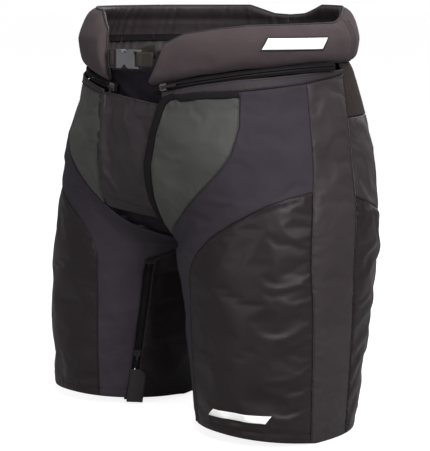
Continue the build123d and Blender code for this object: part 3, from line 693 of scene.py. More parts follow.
def build_stretch(side, word):
    crotch = [(CROTCH_Z, START)] + ([(262, 0.05), (290, 0.095)] if side > 0 else [(285, 0.08), (306, 0.114)])
    top, front = waist_z(SATIN_EDGE), waist_z(STRIPE_FRONT)
    join = crotch[-1][0]
    inner = zip_side(0, 225, ZIP_SHARE) + [(0.05 * TURN, 238), (START * TURN, 250)]
    sides = [
        inner, [(s * TURN, z) for z, s in crotch], [(crotch[-1][1] * TURN, join)] +
        seam_points(SATIN_EDGE, join + 1, top),
        waist_points(float(along(SATIN_EDGE, top)), float(along(STRIPE_FRONT, front))),
        seam_points(STRIPE_FRONT, STRETCH_TOP, front)[::-1], seam_points(STRETCH_LOW, 0, STRETCH_TOP)[::-1],
        [hem_point(STRETCH_LOW), (inner[0][0], 0)],
    ]
    lines = [(0.29 * TURN, 425, 0.36 * TURN, 400, 9, -1.2), (0.35 * TURN, 345, 0.4 * TURN, 352, 6, -0.8),
             (0.16 * TURN, 300, 0.2 * TURN, 285, 8, 1.0)]
    if side < 0:
        lines += [(0.2 * TURN, 352, 0.3 * TURN, 344, 7, -2.2), (0.2 * TURN, 362, 0.29 * TURN, 358, 7, 1.6)]
    panel(f"front_stretch_panel_{word}", side, sides, combined(
        seam_relief(31, drop=0.9, pucker=0.25, sides={0: 0.8, 3: 1.2, 4: 1.0}),
        creases(lines), crumple(0.9, 120, 32), hem_folds(0.5, 33)),
        STRETCH, (0, 2, 4), hem_line(0.112, 0.178), seam_thread=PALE_THREAD,
        sim=dict(pressure=0.3, stretch=0.006, cap=2.5))


def satin_inner():
    """The left satin panel's edge beside the binding, with a rounded upper corner."""
    points = seam_points(FLY_EDGE_LEFT, 262, 440, BINDING_SHARE)
    return points + [(0.0865 * TURN, 449), (0.0935 * TURN, 457), (0.104 * TURN, 462.5), (0.118 * TURN, 465)]


def build_satin(side, word):
    top = waist_z(SATIN_EDGE)
    s_top = float(along(SATIN_EDGE, top))
    outer = seam_points(SATIN_EDGE, 262 if side > 0 else 308, top)[::-1]
    if side > 0:
        inner = satin_inner()
        sides = [inner, [inner[-1]] + waist_points(0.13, s_top), outer, [outer[-1], inner[0]]]
    else:
        inner = seam_points(FLY_EDGE_RIGHT, 308, 465)
        sides = [inner, waist_points(0.08, s_top), outer, [outer[-1], inner[0]]]
    lines = [(0.1 * TURN, 345, 0.17 * TURN, 368, 9, 1.3)]
    if side > 0:
        lines = [(0.155 * TURN, 448, 0.18 * TURN, 438, 6, -1.3),
                 (0.1 * TURN, 372, 0.125 * TURN, 380, 6, -1.2), (0.075 * TURN, 452, 0.1 * TURN, 440, 7, -1.0)]
    lines += [(0.1 * TURN, 292, 0.085 * TURN, 340, 6, 0.9)]
    panel(f"satin_front_panel_{word}", side, sides, combined(
        seam_relief(41, pucker=0.4), creases(lines), crumple(1.2, 110, 42)),
        SATIN, (2,) if side > 0 else (2, 0), sim=dict(pressure=0.4, stretch=0.008, cap=3.0))


def build_seat(side, word):
    back = BACK_MIDDLE * TURN
    rear = float(along(STRIPE_REAR, YOKE_LOW))
    seam = [(s * TURN, z) for z, s in SEAT_LOW if z > 258]
    sides = [
        seam_points(STRIPE_REAR, 331, YOKE_LOW), [(rear * TURN, YOKE_LOW), (back, YOKE_LOW)],
        [(back, YOKE_LOW), (back, 258)], [(0.985 * TURN, 258)] + seam,
    ]
    sides[0][0] = seam[-1]
    lines = [((0.6 + 0.09 * k) * TURN, 330 + 6 * (k % 2), (0.63 + 0.09 * k) * TURN, 425, 9, 1.5 * (-1) ** k)
             for k in range(4)]
    panel(f"seat_panel_{word}", side, sides, combined(
        seam_relief(51, pucker=0.5), creases(lines), crumple(1.3, 110, 52)),
        STRIPE, (0, 1, 3), sim=dict(pressure=0.4, stretch=0.01, cap=3.0))


def build_yoke(side, word):
    back = BACK_MIDDLE * TURN
    rear, top = (float(along(STRIPE_REAR, z)) * TURN for z in (YOKE_LOW, YOKE_TOP))
    sides = [
        seam_points(STRIPE_REAR, YOKE_LOW, YOKE_TOP), [(top, YOKE_TOP), (back, YOKE_TOP)],
        [(back, YOKE_TOP), (back, YOKE_LOW)], [(back, YOKE_LOW), (rear, YOKE_LOW)],
    ]

    def gathers(p, edge, way, side_):
        tucked = 10.5 * unit((p[:, 1] - 484) / (YOKE_TOP - 484)) ** 2  # it goes in under the belt
        full = np.clip((p[:, 1] - YOKE_LOW) / 18, 0.25, 1)
        return 1.1 * ripple(p[:, 0] + 0.1 * p[:, 1], 61, 13.0) * full - tucked
    panel(f"rear_stretch_yoke_{word}", side, sides, combined(
        seam_relief(62, pucker=0.3, sides={1: 0}), gathers),
        YOKE, (0, 3))


def build_rear(side, word):
    inner = zip_side(0, 225, 1 - ZIP_SHARE)
    crotch = [(BACK_MIDDLE * TURN, 253), (1.0 * TURN, 249), (1.045 * TURN, 238)]
    seam = [(s * TURN, z) for z, s in SEAT_LOW if z > 253][::-1]
    sides = [
        seam_points(STRIPE_REAR, 0, 327), seam + crotch[:1], crotch, inner[::-1],
        [inner[0], hem_point(STRIPE_REAR)],
    ]
    sides[0][-1] = seam[0]
    left = 0.53 * TURN
    pulls = ((300, 0.2), (276, 0.9), (246, 0.5), (214, 1.0), (180, 0.3), (152, 0.8), (118, 0.4), (84, 0.9),
             (54, 0.3))
    lines = [(left + 2, z, left + 60 + 30 * f, z - 8 + 36 * f, 7, 1.5 - 0.4 * f) for z, f in pulls]
    lines += [(0.72 * TURN, z, 0.86 * TURN, z + 20, 11, 1.4) for z in (70, 140, 205)]
    panel(f"lower_rear_panel_{word}", side, sides, combined(
        seam_relief(71, pucker=0.85, far=11, sides={0: 1.2, 1: 1, 3: 0.5, 4: 0.2}),
        creases(lines), crumple(1.5, 130, 72), hem_folds(0.7, 73)),
        NYLON, (0, 1, 3), hem_line(0.55, 1.08), spacing=4.6, sim=dict(pressure=0.4, stretch=0.015, cap=4.0))


for build in (build_lower_front, build_stripe, build_stretch, build_satin, build_seat, build_yoke,
              build_rear):
    both(build)


# ---------------- hems, binding, waist band and gussets
def build_hem(side, word):
    s0, s1 = 0.1275, 1.0675  # it stops at the inseam's zipper
    a, b, c, d = (s0 * TURN, 0.6), (s1 * TURN, 0.6), (s1 * TURN, HEM_TUCK), (s0 * TURN, HEM_TUCK)
    sides = [[a, b], [b, c], [c, d], [d, a]]
    pattern = Pattern(sides, 4.0, rings=(0.9, 2.0))
    height = combined(seam_relief(81, drop=0.5, reach=2, pucker=0.4), crumple(0.3, 30, 82))
    line = [(s * TURN, 13) for s in np.linspace(0.13, 1.065, 90)]
    obj = cloth_piece(f"leg_hem_{word}", pattern, on_leg(side, 3.6), height, TRIM, thick=1.4,
                      mirrored=side < 0, stitches=[stitch_path(line, on_leg(side, 5.1), height)])
    dress(obj, f"leg_hem_{word}")


both(build_hem)

binding_edge = seam_points(FLY_EDGE_LEFT, 262, 445) + [
    (0.0735 * TURN, 455), (0.082 * TURN, 464), (0.094 * TURN, 470), (0.112 * TURN, 473.5)]
top_end = 0.268
binding_sides = [
    binding_edge,
    [binding_edge[-1]] + waist_points(0.13, top_end, shift=2.5),
    [(top_end * TURN, along(BAND_LOW, top_end) + 2.5), (top_end * TURN, along(BAND_LOW, top_end) - 8)],
    (waist_points(0.13, top_end, shift=-8)[::-1]) + satin_inner()[::-1],
    [satin_inner()[0], binding_edge[0]],
]
binding_pattern = Pattern(binding_sides, 3.0, rings=(0.8, 1.8))
binding_height = combined(
    seam_relief(91, drop=1.3, reach=3.5, pucker=0.3),
    lambda p, edge, way, side: 1.3 + 0.15 * np.sin(way * 2.2))
binding = cloth_piece(
    "fly_binding", binding_pattern, on_leg(), binding_height, TAPE, thick=2.4,
    stitches=[stitch_line(binding_pattern, k, inside, on_leg(), binding_height, pitch=3.2)
              for k, inside in ((3, 1.6), (0, 1.8))])
dress(binding, "fly_binding")


def build_band(side, word):
    s = np.linspace(0.085, 0.57, 40)
    low = [(v * TURN, along(BAND_LOW, v) + 0.5) for v in s]
    high = [(v * TURN, along(BAND_HIGH, v)) for v in s]
    sides = [low, [low[-1], high[-1]], high[::-1], [high[0], low[0]]]
    pattern = Pattern(sides, 3.5, rings=(0.9, 2.0))
    height = combined(
        seam_relief(101, drop=1.3, reach=4, pucker=0.4, length=9),
        lambda p, edge, way, side_: 0.9 * np.ones(len(p)))
    place = on_leg(side)
    obj = cloth_piece(f"waist_band_{word}", pattern, place, height, TRIM, thick=2.6, mirrored=side < 0,
                      stitches=[stitch_line(pattern, k, 2.2, place, height) for k in (0, 2)])
    dress(obj, f"waist_band_{word}")


both(build_band)


def ring_sides(u0, u1, low, high, count=60):
    """The sides of a band round the waist, between two shares and two heights, given as functions."""
    turns = np.linspace(u0, u1, count)
    bottom = [(u * BELT_ROUND, low(u)) for u in turns]
    top = [(u * BELT_ROUND, high(u)) for u in turns]
    return [bottom, [bottom[-1], top[-1]], top[::-1], [top[0], bottom[0]]]


GUSSET_LOW, GUSSET_HIGH = 450.0, 519.0
GUSSET_IN = 16.0  # how far the gussets lie inside the outline
GUSSET_FROM, GUSSET_TO = 0.1, 1.9
gusset_sides = ring_sides(GUSSET_FROM, GUSSET_TO, lambda u: GUSSET_LOW, lambda u: GUSSET_HIGH)
gusset_pattern = Pattern(gusset_sides, 5.0, rings=(1.5,))


def gusset_height(p, edge, way, side):
    top = unit((p[:, 1] - 500) / (GUSSET_HIGH - 500))  # where it is sewn to the belt's low edge
    gathers = 2.6 * ripple(p[:, 0] + 0.15 * p[:, 1], 111, 22.0) + 0.8 * bumpy(p, 30, 112)
    return (1 - 0.7 * top) * gathers + 4 * top


def gusset_inset(u, z):
    return np.full(len(u), GUSSET_IN)


gusset = cloth_piece("waist_gusset", gusset_pattern, on_ring(gusset_inset), gusset_height, GUSSET, thick=1.2)
dress(gusset, "waist_gusset")

# ---------------- fly
TUCK = 6.0


def edge_x(table, z):
    return float(outline(np.array([along(table, z)]), np.array([float(z)]), 0.0)[0][0]) + TUCK


flap_right = [(30, 284), (19, 288), (-20, 294), (-73, 304), (-79, 323), (-78, 348), (-74, 372), (-73, 469)]
flap_left = [(edge_x(FLY_EDGE_LEFT, z), z) for z in np.linspace(452, 284, 12)]
flap_sides = [flap_right[:4], flap_right[3:7], flap_right[6:],
              [(-73, 469), (-48, 469), (50, 457), flap_left[0]], flap_left + [(30, 284)]]
flap_pattern = Pattern(flap_sides, 3.6)
flap_seams = seam_relief(121, drop=0.9, pucker=0.5, sides={0: 0.4, 1: 0, 2: 1, 3: 1.2, 4: 0})


def flap_height(p, edge, way, side):
    x, z = p.T
    top = unit((z - 425) / 40) ** 1.5
    pleats = 1.6 * top * ripple(x + 0.25 * z, 122, 15.0)
    over = 5.2 * unit((-x - 40) / 22) ** 2  # it lies on the right panel, and under the left one
    loose = unit((-x - 45) / 30) * unit((372 - z) / 14) * unit((z - 300) / 12)
    crease = folds(p, [
        (-80, 368, -42, 322, 2.6, 2.6), (-76, 352, -44, 316, 3.2, -1.6), (-72, 322, 24, 306, 2.4, -1.0),
        (-20, 440, 10, 340, 9, 1.2), (10, 440, 34, 352, 8, -1.1)])
    lifted = 3.0 * loose * unit((x + 84) / 20)
    return flap_seams(p, edge, way, side) + pleats + over + crease - lifted


flap_place = on_middle(4.4)
flap_stitches = [stitch_line(flap_pattern, k, inside, flap_place, flap_height)
                 for k, inside in ((2, 1.8), (2, 4.6), (3, 2.4))]
flap_stitches.append(stitch_path([(-72, 323), (-20, 309), (32, 303)], flap_place, flap_height))
flap = cloth_piece("fly_flap", flap_pattern, flap_place, flap_height, TRIM, thick=1.2, stitches=flap_stitches,
                   sim=dict(pressure=0.2, stretch=0.006, cap=2.0, pin=6.0))
dress(flap, "fly_flap")

zs = np.linspace(254, 500, 27)
GUSSET_REACH = [(380, 99.0), (420, 62.0)]
fly_left_x = [(min(edge_x(FLY_EDGE_LEFT, z), along(GUSSET_REACH, z)), z) for z in zs]
fly_right_x = [(-min(edge_x(FLY_EDGE_RIGHT, z), along(GUSSET_REACH, z)), z) for z in zs]
fly_pattern = Pattern([fly_left_x, [fly_left_x[-1], fly_right_x[-1]], fly_right_x[::-1],
                       [fly_right_x[0], fly_left_x[0]]], 4.0, rings=(1.5,))


def fly_gusset_height(p, edge, way, side):
    deep = unit((340 - p[:, 1]) / 60)
    return (1.5 + 2.2 * deep) * bumpy(p * (1, 1.5), 34, 131) + folds(p, [
        (-40, 300, 20, 282, 4, 3.0), (-34, 292, 10, 279, 3, -2.0), (-50, 480, 0, 440, 9, 2.0)])


fly_gusset = cloth_piece("fly_gusset", fly_pattern, on_middle(GUSSET_IN), fly_gusset_height, GUSSET,
                         thick=1.2)
dress(fly_gusset, "fly_gusset")


CROTCH_TAPE_WIDE = 16


def crotch_tape():
    """The tape that covers the seam from the seat, through the crotch, to the fly."""
    back, front = np.linspace(436, 250, 40), np.linspace(250, 268, 8)
    y = np.concatenate([outline(1 - START, back, 0.0)[1], outline(START, front, 0.0)[1]])
    path = np.column_stack([y, np.concatenate([back, front])])
    for _ in range(3):
        path[1:-1] = (path[:-2] + 2 * path[1:-1] + path[2:]) / 4
    lengths = np.concatenate([[0], np.cumsum(np.hypot(*np.diff(path, axis=0).T))])
    way = np.gradient(path, axis=0)
    way /= np.linalg.norm(way, axis=1, keepdims=True)
    inside = np.column_stack([way[:, 1], -way[:, 0]])
    vertices, uv = [], []
    across = np.linspace(-CROTCH_TAPE_WIDE / 2, CROTCH_TAPE_WIDE / 2, 7)
    for x in across:
        row = path + inside * (2.6 - 0.05 * x * x)
        vertices += [(x * MM, y * MM, z * MM) for y, z in row]
        uv += [(x * MM, v * MM) for v in lengths]
    n = len(path)
    faces = [(k * n + j, (k + 1) * n + j, (k + 1) * n + j + 1, k * n + j + 1)
             for k in range(len(across) - 1) for j in range(n - 1)]
    tape = mesh_piece("crotch_tape", vertices, faces, [TAPE], uv=uv)
    thicken(tape, 1.0, 0)
    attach(tape, "shell")
    dress(tape)


crotch_tape()

def cushion(name, pattern, place, outer, inner, cover, mirrored=False):
    """A closed pad between two heights over a pattern."""
    skin = np.vstack([place(pattern.flat, outer), place(pattern.flat, inner)])
    faces = np.vstack([pattern.faces, pattern.faces[:, ::-1] + len(pattern.flat)])
    if mirrored:
        faces = faces[:, ::-1]
    obj = mesh_piece(name, skin, faces, [cover], uv=np.vstack([pattern.flat] * 2) * MM)
    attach(obj, "shell")
    dress(obj, name)


# ---------------- belt
BELT_THICK = 15.5
WINGS = {"left": (0.055, 0.598), "back": (0.602, 1.398), "right": (1.402, 1.92)}


def belt_low(u):
    return along(BELT_LOW, np.minimum(u, 2 - u))


def belt_high(u):
    u = np.asarray(u, float)
    left = np.where(u < 0.6, along(WING_HIGH_LEFT, u), along(BACK_HIGH_LEFT, u))
    right = np.where(u > 1.4, along(WING_HIGH_RIGHT, 2 - u), along(BACK_HIGH_RIGHT, 2 - u))
    return np.where(u <= 1, left, right)


def belt_inset(u, z):
    """How far inside the outline the belt's outer face lies: it bulges at mid height."""
    low, high = belt_low(u), belt_high(u)
    t = unit((z - low) / np.maximum(high - low, 1))
    return -1 - 26 * t + 25 * t * t


def crown(edge, half, reach):
    """A pad's half thickness at a distance from its edge."""
    t = unit(edge / reach)
    return half * np.sqrt(unit(1 - (1 - t) ** 2))


def middle_inset(u, z):
    return belt_inset(u, z) + BELT_THICK / 2


def cover_height(seed):
    def height(p, edge, way, side):
        return crown(edge, BELT_THICK / 2, 9.0) + bumpy(p, 95, seed) * unit(edge / 12)
    return height


def lining_height(p, edge, way, side):
    """How far in the gathered lining lies from the belt's middle, with its elastic line."""
    z = p[:, 1]
    elastic = np.exp(-((z - 569) / 3.0) ** 2)
    gather = ripple(p[:, 0] + 0.12 * (z - 560), 141, 19.0) + 0.5 * ripple(p[:, 0] - 0.2 * z, 142, 9.0)
    loose = unit(edge / 7) * (1.5 + 1.9 * gather - 2.2 * elastic)
    return -(crown(edge, BELT_THICK / 2 - 1.5, 8.0) + loose)


def piping(name, points, radius):
    """Piping in a closed line along points in metres."""
    curve = bpy.data.curves.new(name, "CURVE")
    curve.dimensions = "3D"
    curve.bevel_depth = radius * MM
    curve.bevel_resolution = 3
    curve.use_fill_caps = True
    spline = curve.splines.new("POLY")
    spline.points.add(len(points) - 1)
    for point, p in zip(spline.points, points):
        point.co = (*p, 1)
    spline.use_cyclic_u = True
    spline.use_smooth = True
    curve.materials.append(TRIM)
    obj = bpy.data.objects.new(name, curve)
    bpy.context.scene.collection.objects.link(obj)
    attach(obj, "shell")


for word, (u0, u1) in WINGS.items():
    pattern = Pattern(ring_sides(u0, u1, belt_low, belt_high, 70), 4.5, rings=(0.8, 1.8, 3.2, 5.2, 7.4))
    place = on_ring(middle_inset)
    height = cover_height(151 + len(word))
    stitched = (1, 3) if word == "back" else ()
    cover = cloth_piece(f"belt_cover_{word}", pattern, place, height, KNIT, thick=0.9,
                        stitches=[stitch_line(pattern, k, 9.0, place, height, pitch=4) for k in stitched],
                        sim=dict(pressure=1.2, stretch=0.004, cap=3.0, pin=1.0))
    dress(cover, f"belt_cover_{word}")
    foam_sides = ring_sides(u0 + 0.006, u1 - 0.006, lambda u: belt_low(u) + 3, lambda u: belt_high(u) - 3)
    foam_pattern = Pattern(foam_sides, 7.0, edge_step=5, rings=(1.5, 4.0))
    thick = crown(foam_pattern.edge, 5.4, 7.0)
    cushion(f"belt_foam_{word}", foam_pattern, place, thick, -thick * 0.8, FOAM)
    rim = place(pattern.loop, np.full(len(pattern.loop), 0.4))
    piping(f"belt_piping_{word}", rim, 1.7)

lining_sides = ring_sides(WINGS["left"][0], WINGS["right"][1], belt_low, belt_high, 160)
lining_pattern = Pattern(lining_sides, 4.5, rings=(1.2, 3.0, 5.5))
lining = cloth_piece("belt_lining", lining_pattern, on_ring(middle_inset), lining_height, LINING, thick=0.0,
                     mirrored=True)
dress(lining, "belt_lining")

# the ruffled tape under the gathered part
ruffle_sides = ring_sides(0.12, 1.9, lambda u: 535.5, lambda u: 546.0, 120)
ruffle_pattern = Pattern(ruffle_sides, 2.6, rings=(0.8,))


def ruffle_height(p, edge, way, side):
    return -BELT_THICK / 2 - 1.6 + 2.2 * ripple(p[:, 0], 145, 13.0) * np.clip((546 - p[:, 1]) / 6, 0.2, 1)


ruffle = cloth_piece("lining_ruffle", ruffle_pattern, on_ring(middle_inset), ruffle_height, TAPE, thick=0.8)


# ---------------- pads inside the shell
def pad(name, pattern, place, half, channels, mirrored=False):
    """A foam pad in a thin cover, quilted along its channels: each is an axis and a place on it."""
    grooves = sum(np.exp(-((pattern.flat[:, axis] - at) / 2.4) ** 2) for axis, at in channels)
    out = crown(pattern.edge, half, 9.0) * (1 - 0.55 * unit(grooves))
    cushion(name, pattern, place, out, -out, LINING, mirrored)


def box_sides(x0, x1, y0, y1, r=14.0):
    """A rectangle with rounded corners, as four sides."""
    def arc(cx, cy, start):
        turns = np.radians(np.linspace(start, start + 90, 7))
        return [(cx + r * np.cos(a), cy + r * np.sin(a)) for a in turns]
    left, right, low, high = x0 + r, x1 - r, y0 + r, y1 - r
    corners = [arc(right, low, -90), arc(right, high, 0), arc(left, high, 90), arc(left, low, 180)]
    return [corners[0], [corners[0][-1]] + corners[1], [corners[1][-1]] + corners[2],
            [corners[2][-1]] + corners[3] + [corners[0][0]]]


def build_pads(side, word):
    thigh = Pattern(box_sides(0.152 * TURN, 0.458 * TURN, 56, 239), 6.0, rings=(1.5, 4.0))
    channels = [(0, 0.25 * TURN), (0, 0.36 * TURN), (1, 118), (1, 180)]
    pad(f"thigh_pad_{word}", thigh, on_leg(side, 12.6), 4.8, channels, side < 0)
    hip = Pattern(box_sides(0.362 * TURN, 0.618 * TURN, 326, 439), 6.0, rings=(1.5, 4.0))
    pad(f"hip_pad_{word}", hip, on_leg(side, 10.6), 5.8, [(0, 0.45 * TURN), (0, 0.53 * TURN)], side < 0)


both(build_pads)
tail_pattern = Pattern(box_sides(-54, 54, 301, 439), 6.0, rings=(1.5, 4.0))
pad("tailbone_pad", tail_pattern, on_middle(10.6, back=True), 5.8, [(0, 0.0), (1, 370)])

# ---------------- zippers
INSEAM_LOW = np.array([72.5, -109.0, 4.0])
INSEAM_HIGH = np.array([33.0, -102.5, 228.0])
INSEAM_OUT = np.array([-0.858, -0.514, 0.0])
INSEAM_LENGTH = 214.0
ARC_R, ARC_CENTRE, ARC_TILT = 181.6, np.array([39.4, 12.0, 476.4]), np.arcsin(0.177)
arc_normal = np.array([-np.sin(ARC_TILT), 0, np.cos(ARC_TILT)])
arc_right = np.array([np.cos(ARC_TILT), 0, np.sin(ARC_TILT)])
inseam_way = (INSEAM_HIGH - INSEAM_LOW) / np.linalg.norm(INSEAM_HIGH - INSEAM_LOW)
inseam_right = np.cross(-INSEAM_OUT, inseam_way)
inseam_right /= np.linalg.norm(inseam_right)


def inseam_frames(t):
    """Middle, across, into the body and along, at each way t up an inseam chain."""
    n = len(t)
    along_ = np.tile(inseam_way, (n, 1))
    across = np.tile(inseam_right, (n, 1))
    return INSEAM_LOW + np.outer(t, inseam_way), across, np.cross(along_, across), along_


def arc_frames(t):
    """The same for the chain round the waist."""
    angle = np.radians(-91.0) + t / ARC_R
    out = np.outer(np.cos(angle), arc_right) + np.outer(np.sin(angle), (0, 1, 0))
    across = np.tile(arc_normal, (len(t), 1))
    along_ = np.cross(out, across)
    return ARC_CENTRE + out * ARC_R, across, np.cross(along_, across), along_


def tooth_mesh(frames, length, pitch=2.4):
    """Moulded teeth on both stringers: each a bevelled block with a head, set turn and turn about.

    The profile has each corner's way from the chain's middle, its depth and half its length along the chain.
    """
    vertices, faces = [], []
    for side in (-1, 1):
        t = np.arange(1.2 + (pitch / 2 if side > 0 else 0), length - 1, pitch)
        middle, across, deep, ahead = frames(t)
        profile = []
        for x, y, z in ((0.7, 5.7, 0.75), (1.5, 5.5, 0.85), (2.9, 5.6, 0.6), (3.4, 6.1, 0.5),
                        (3.4, 7.0, 0.5), (2.9, 7.3, 0.6), (1.5, 7.3, 0.85), (0.7, 7.1, 0.75)):
            for sign in (-1, 1):
                profile.append(middle + across * side * x + deep * y + ahead * sign * z)
        block = np.stack(profile, axis=1) * MM
        for k in range(len(t)):
            base = len(vertices)
            vertices += list(block[k])
            for j in range(8):
                a, b = base + 2 * j, base + 2 * ((j + 1) % 8)
                faces.append((a, b, b + 1, a + 1))
            faces.append(tuple(base + 2 * j for j in range(7, -1, -1)))
            faces.append(tuple(base + 2 * j + 1 for j in range(8)))
    return np.array(vertices), faces


def tape_mesh(frames, length, wide, step=2.5):
    """Both woven tapes with a corded inner edge and a slight wave."""
    vertices, faces, uv = [], [], []
    t = np.linspace(0, length, int(length / step) + 1)
    middle, across, deep, _ = frames(t)
    columns = [(0.7, 7.7), (1.2, 7.5), (1.9, 7.7), (3.6, 7.75)] + [(x, 7.75) for x in np.linspace(5, wide, 4)]
    for side in (-1, 1):
        base = len(vertices)
        for k, (x, y) in enumerate(columns):
            wave = 0.18 * np.sin(t / 5.3 + side) * (k / 7)
            vertices += list((middle + across * side * x + deep * (y + wave)[:, None]) * MM)
            uv += [(side * x * MM, v * MM) for v in t]
        n = len(t)
        for k in range(len(columns) - 1):
            for j in range(n - 1):
                a = base + k * n + j
                quad = (a, a + 1, a + n + 1, a + n)
                faces.append(quad if side < 0 else quad[::-1])
    return np.array(vertices), faces, np.array(uv)


def mirror_x(vertices, faces):
    """The other side's mesh, with its faces turned to stay the right way out."""
    return vertices * (-1, 1, 1), [tuple(f)[::-1] for f in faces]


for place_name, frames, length, wide in (("inseam", inseam_frames, INSEAM_LENGTH, 10.0),
                                         ("waist", arc_frames, np.radians(93) * ARC_R, 5.5)):
    for side, word in ((1, "left"), (-1, "right")):
        v, f = tooth_mesh(frames, length)
        if side < 0:
            v, f = mirror_x(v, f)
        teeth = mesh_piece(f"{place_name}_zip_teeth_{word}", v, f, [TEETH], smooth=False)
        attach(teeth, "shell")
        dress(teeth, f"{place_name}_zip_teeth_{word}")
        v, f, uv = tape_mesh(frames, length, wide)
        if side < 0:
            v, f = mirror_x(v, f)
        tape = mesh_piece(f"{place_name}_zip_tape_{word}", v, f, [TAPE], uv=uv)
        thicken(tape, 0.6, 0)
        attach(tape, "shell")
        dress(tape, f"{place_name}_zip_tape_{word}")

# hem tabs
TAB_LEFT, TAB_RIGHT, TAB_TALL, TAB_R = -17, 8, 52, 12.0
TAB_OUT = float(np.sign(np.cross(inseam_right, inseam_way) @ INSEAM_OUT))
on_inseam = on_plane(INSEAM_LOW * MM, inseam_right, inseam_way)
tab_relief = combined(
    seam_relief(161, drop=0.8, reach=2.2, pucker=0.25, length=9),
    lambda p, edge, way, side: 2.6 + 0.25 * bumpy(p, 26, 162))


def tab_height(p, edge, way, side):
    return TAB_OUT * tab_relief(p, edge, way, side)


def build_tab(side, word):
    turns = np.radians(np.linspace(0, 90, 8))
    corner = [(TAB_LEFT + TAB_R - TAB_R * np.sin(a), TAB_TALL - TAB_R + TAB_R * np.cos(a)) for a in turns]
    sides = [[(TAB_RIGHT, 0), (TAB_RIGHT, TAB_TALL)], [(TAB_RIGHT, TAB_TALL)] + corner,
             [corner[-1], (TAB_LEFT, 0)], [(TAB_LEFT, 0), (TAB_RIGHT, 0)]]
    pattern = Pattern(sides, 3.0, edge_step=1.8, rings=(0.7, 1.5))

    def place(p, out):
        return on_inseam(p, out) * (side, 1, 1)
    stitches = [stitch_line(pattern, k, 2.0, place, tab_height, lift=0.1 * TAB_OUT, pitch=3.2)
                for k in (0, 1, 2)]
    tab = cloth_piece(f"hem_tab_{word}", pattern, place, tab_height, TRIM, body=f"hem_tab_{word}", thick=1.6,
                      stitches=stitches, mirrored=side * TAB_OUT < 0)
    dress(tab, f"hem_tab_{word}")


both(build_tab)

# ---------------- hard CAD nodes keep their shape, and get finishes and soft edges
FINISHES = {"buckle_socket": BUCKLE, "buckle_plug": BUCKLE_DARK, "buckle_prong_upper": BUCKLE_DARK,
            "buckle_prong_lower": BUCKLE_DARK}
for word in ("left", "right"):
    FINISHES[f"thigh_guard_{word}"] = PLASTIC
    for place_name in ("waist", "inseam"):
        FINISHES[f"{place_name}_slider_{word}"] = METAL if place_name == "waist" else DARK_METAL
        FINISHES[f"{place_name}_pull_{word}"] = CORD
for node, finish in FINISHES.items():
    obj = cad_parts[node]
    obj.data.materials.clear()
    obj.data.materials.append(finish)
    bevel = obj.modifiers.new("edges", "BEVEL")
    bevel.width = (0.5 if "buckle" in node else 0.25) * MM
    bevel.segments = 3
    bevel.limit_method = "ANGLE"
    bevel.angle_limit = 0.7
    bevel.harden_normals = True

# ---------------- webbing
BUCKLE_AT = np.array([0.0, -168.0, 517.0])


WEBBING_WIDE = 20.0


def strap(name, path, thick, rise=0.0, wave=0.0):
    """Webbing along a path seen from above, from the buckle's middle; rise is its climb along the way."""
    path = np.array(path, float)
    lengths = np.concatenate([[0], np.cumsum(np.hypot(*np.diff(path, axis=0).T))])
    t = np.linspace(0, lengths[-1], int(lengths[-1] / 1.2) + 1)
    centre = np.column_stack([np.interp(t, lengths, path[:, k]) for k in (0, 1)])
    for _ in range(2):
        centre[1:-1] = (centre[:-2] + 2 * centre[1:-1] + centre[2:]) / 4
    ahead = np.gradient(centre, axis=0)
    ahead /= np.linalg.norm(ahead, axis=1, keepdims=True)
    normal = np.column_stack([-ahead[:, 1], ahead[:, 0]])
    rows = np.linspace(-WEBBING_WIDE / 2, WEBBING_WIDE / 2, 9)
    half = thick / 2
    profile = [(y, half * (0.75 if abs(y) > WEBBING_WIDE / 2 - 0.5 else 1)) for y in rows]
    profile += [(y, -h) for y, h in profile[::-1]]
    vertices, uv, faces = [], [], []
    for k in range(len(t)):
        for y, h in profile:
            bend = wave * np.sin(t[k] / 7.0 + y * 0.2) * unit(t[k] / 10)
            x, depth = centre[k] + normal[k] * (h + bend)
            vertices.append((BUCKLE_AT + (x, depth, y + rise * t[k])) * MM)
            uv.append((y * MM, t[k] * MM))
    m = len(profile)
    for k in range(len(t) - 1):
        for j in range(m):
            a, b = k * m + j, k * m + (j + 1) % m
            faces.append((a, b, b + m, a + m))
    faces.append(tuple(range(m))[::-1])
    faces.append(tuple((len(t) - 1) * m + j for j in range(m)))
    obj = mesh_piece(name, vertices, faces, [WEBBING], uv=uv)
    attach(obj, "shell")
    return obj


lace_path = [(-53, 3.2), (-42, 3.2), (-41.2, 2.4), (-41.2, -2.4), (-40.4, -3.2), (-35, -3.2), (-34.2, -2.4),
             (-34.2, 5.4), (-33.4, 6.2), (-29, 6.2)]
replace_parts(strap("webbing_right", lace_path, 1.3), "webbing_right")
strap("webbing_tail", [(-28, 6.8), (-10, 6.8), (10, 6.8), (44, 6.8)], 1.1, rise=12 / 72, wave=0.5)
loop_back = [(44, -0.9), (24, -0.9), (19, -2.7), (15, -2.9), (12.4, -2.2)]
loop_front = [(x, -y) for x, y in reversed(loop_back)]
band_left = strap("webbing_left", loop_back + [(11.6, 0.0)] + loop_front, 1.1)
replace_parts(band_left, "webbing_left")
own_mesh(band_left)


# ---------------- plain marks in place of printed lettering
def laid_on(piece, place):
    """A place on another piece's finished outer face."""
    data = piece.data
    faces = [list(f.vertices) for f in data.polygons]
    tree = bvhtree.BVHTree.FromPolygons([v.co for v in data.vertices], faces)

    def lay(p, out):
        base = place(p, np.zeros(len(p)))
        run = base - place(p, np.full(len(p), 30.0))
        starts = base - run
        run /= np.linalg.norm(run, axis=1, keepdims=True)
        hits = [tree.ray_cast(Vector(a), Vector(d))[0] for a, d in zip(starts, run)]
        found = np.array([b if hit is None else hit for hit, b in zip(hits, base)])
        return found - run * out[:, None] * MM
    return lay


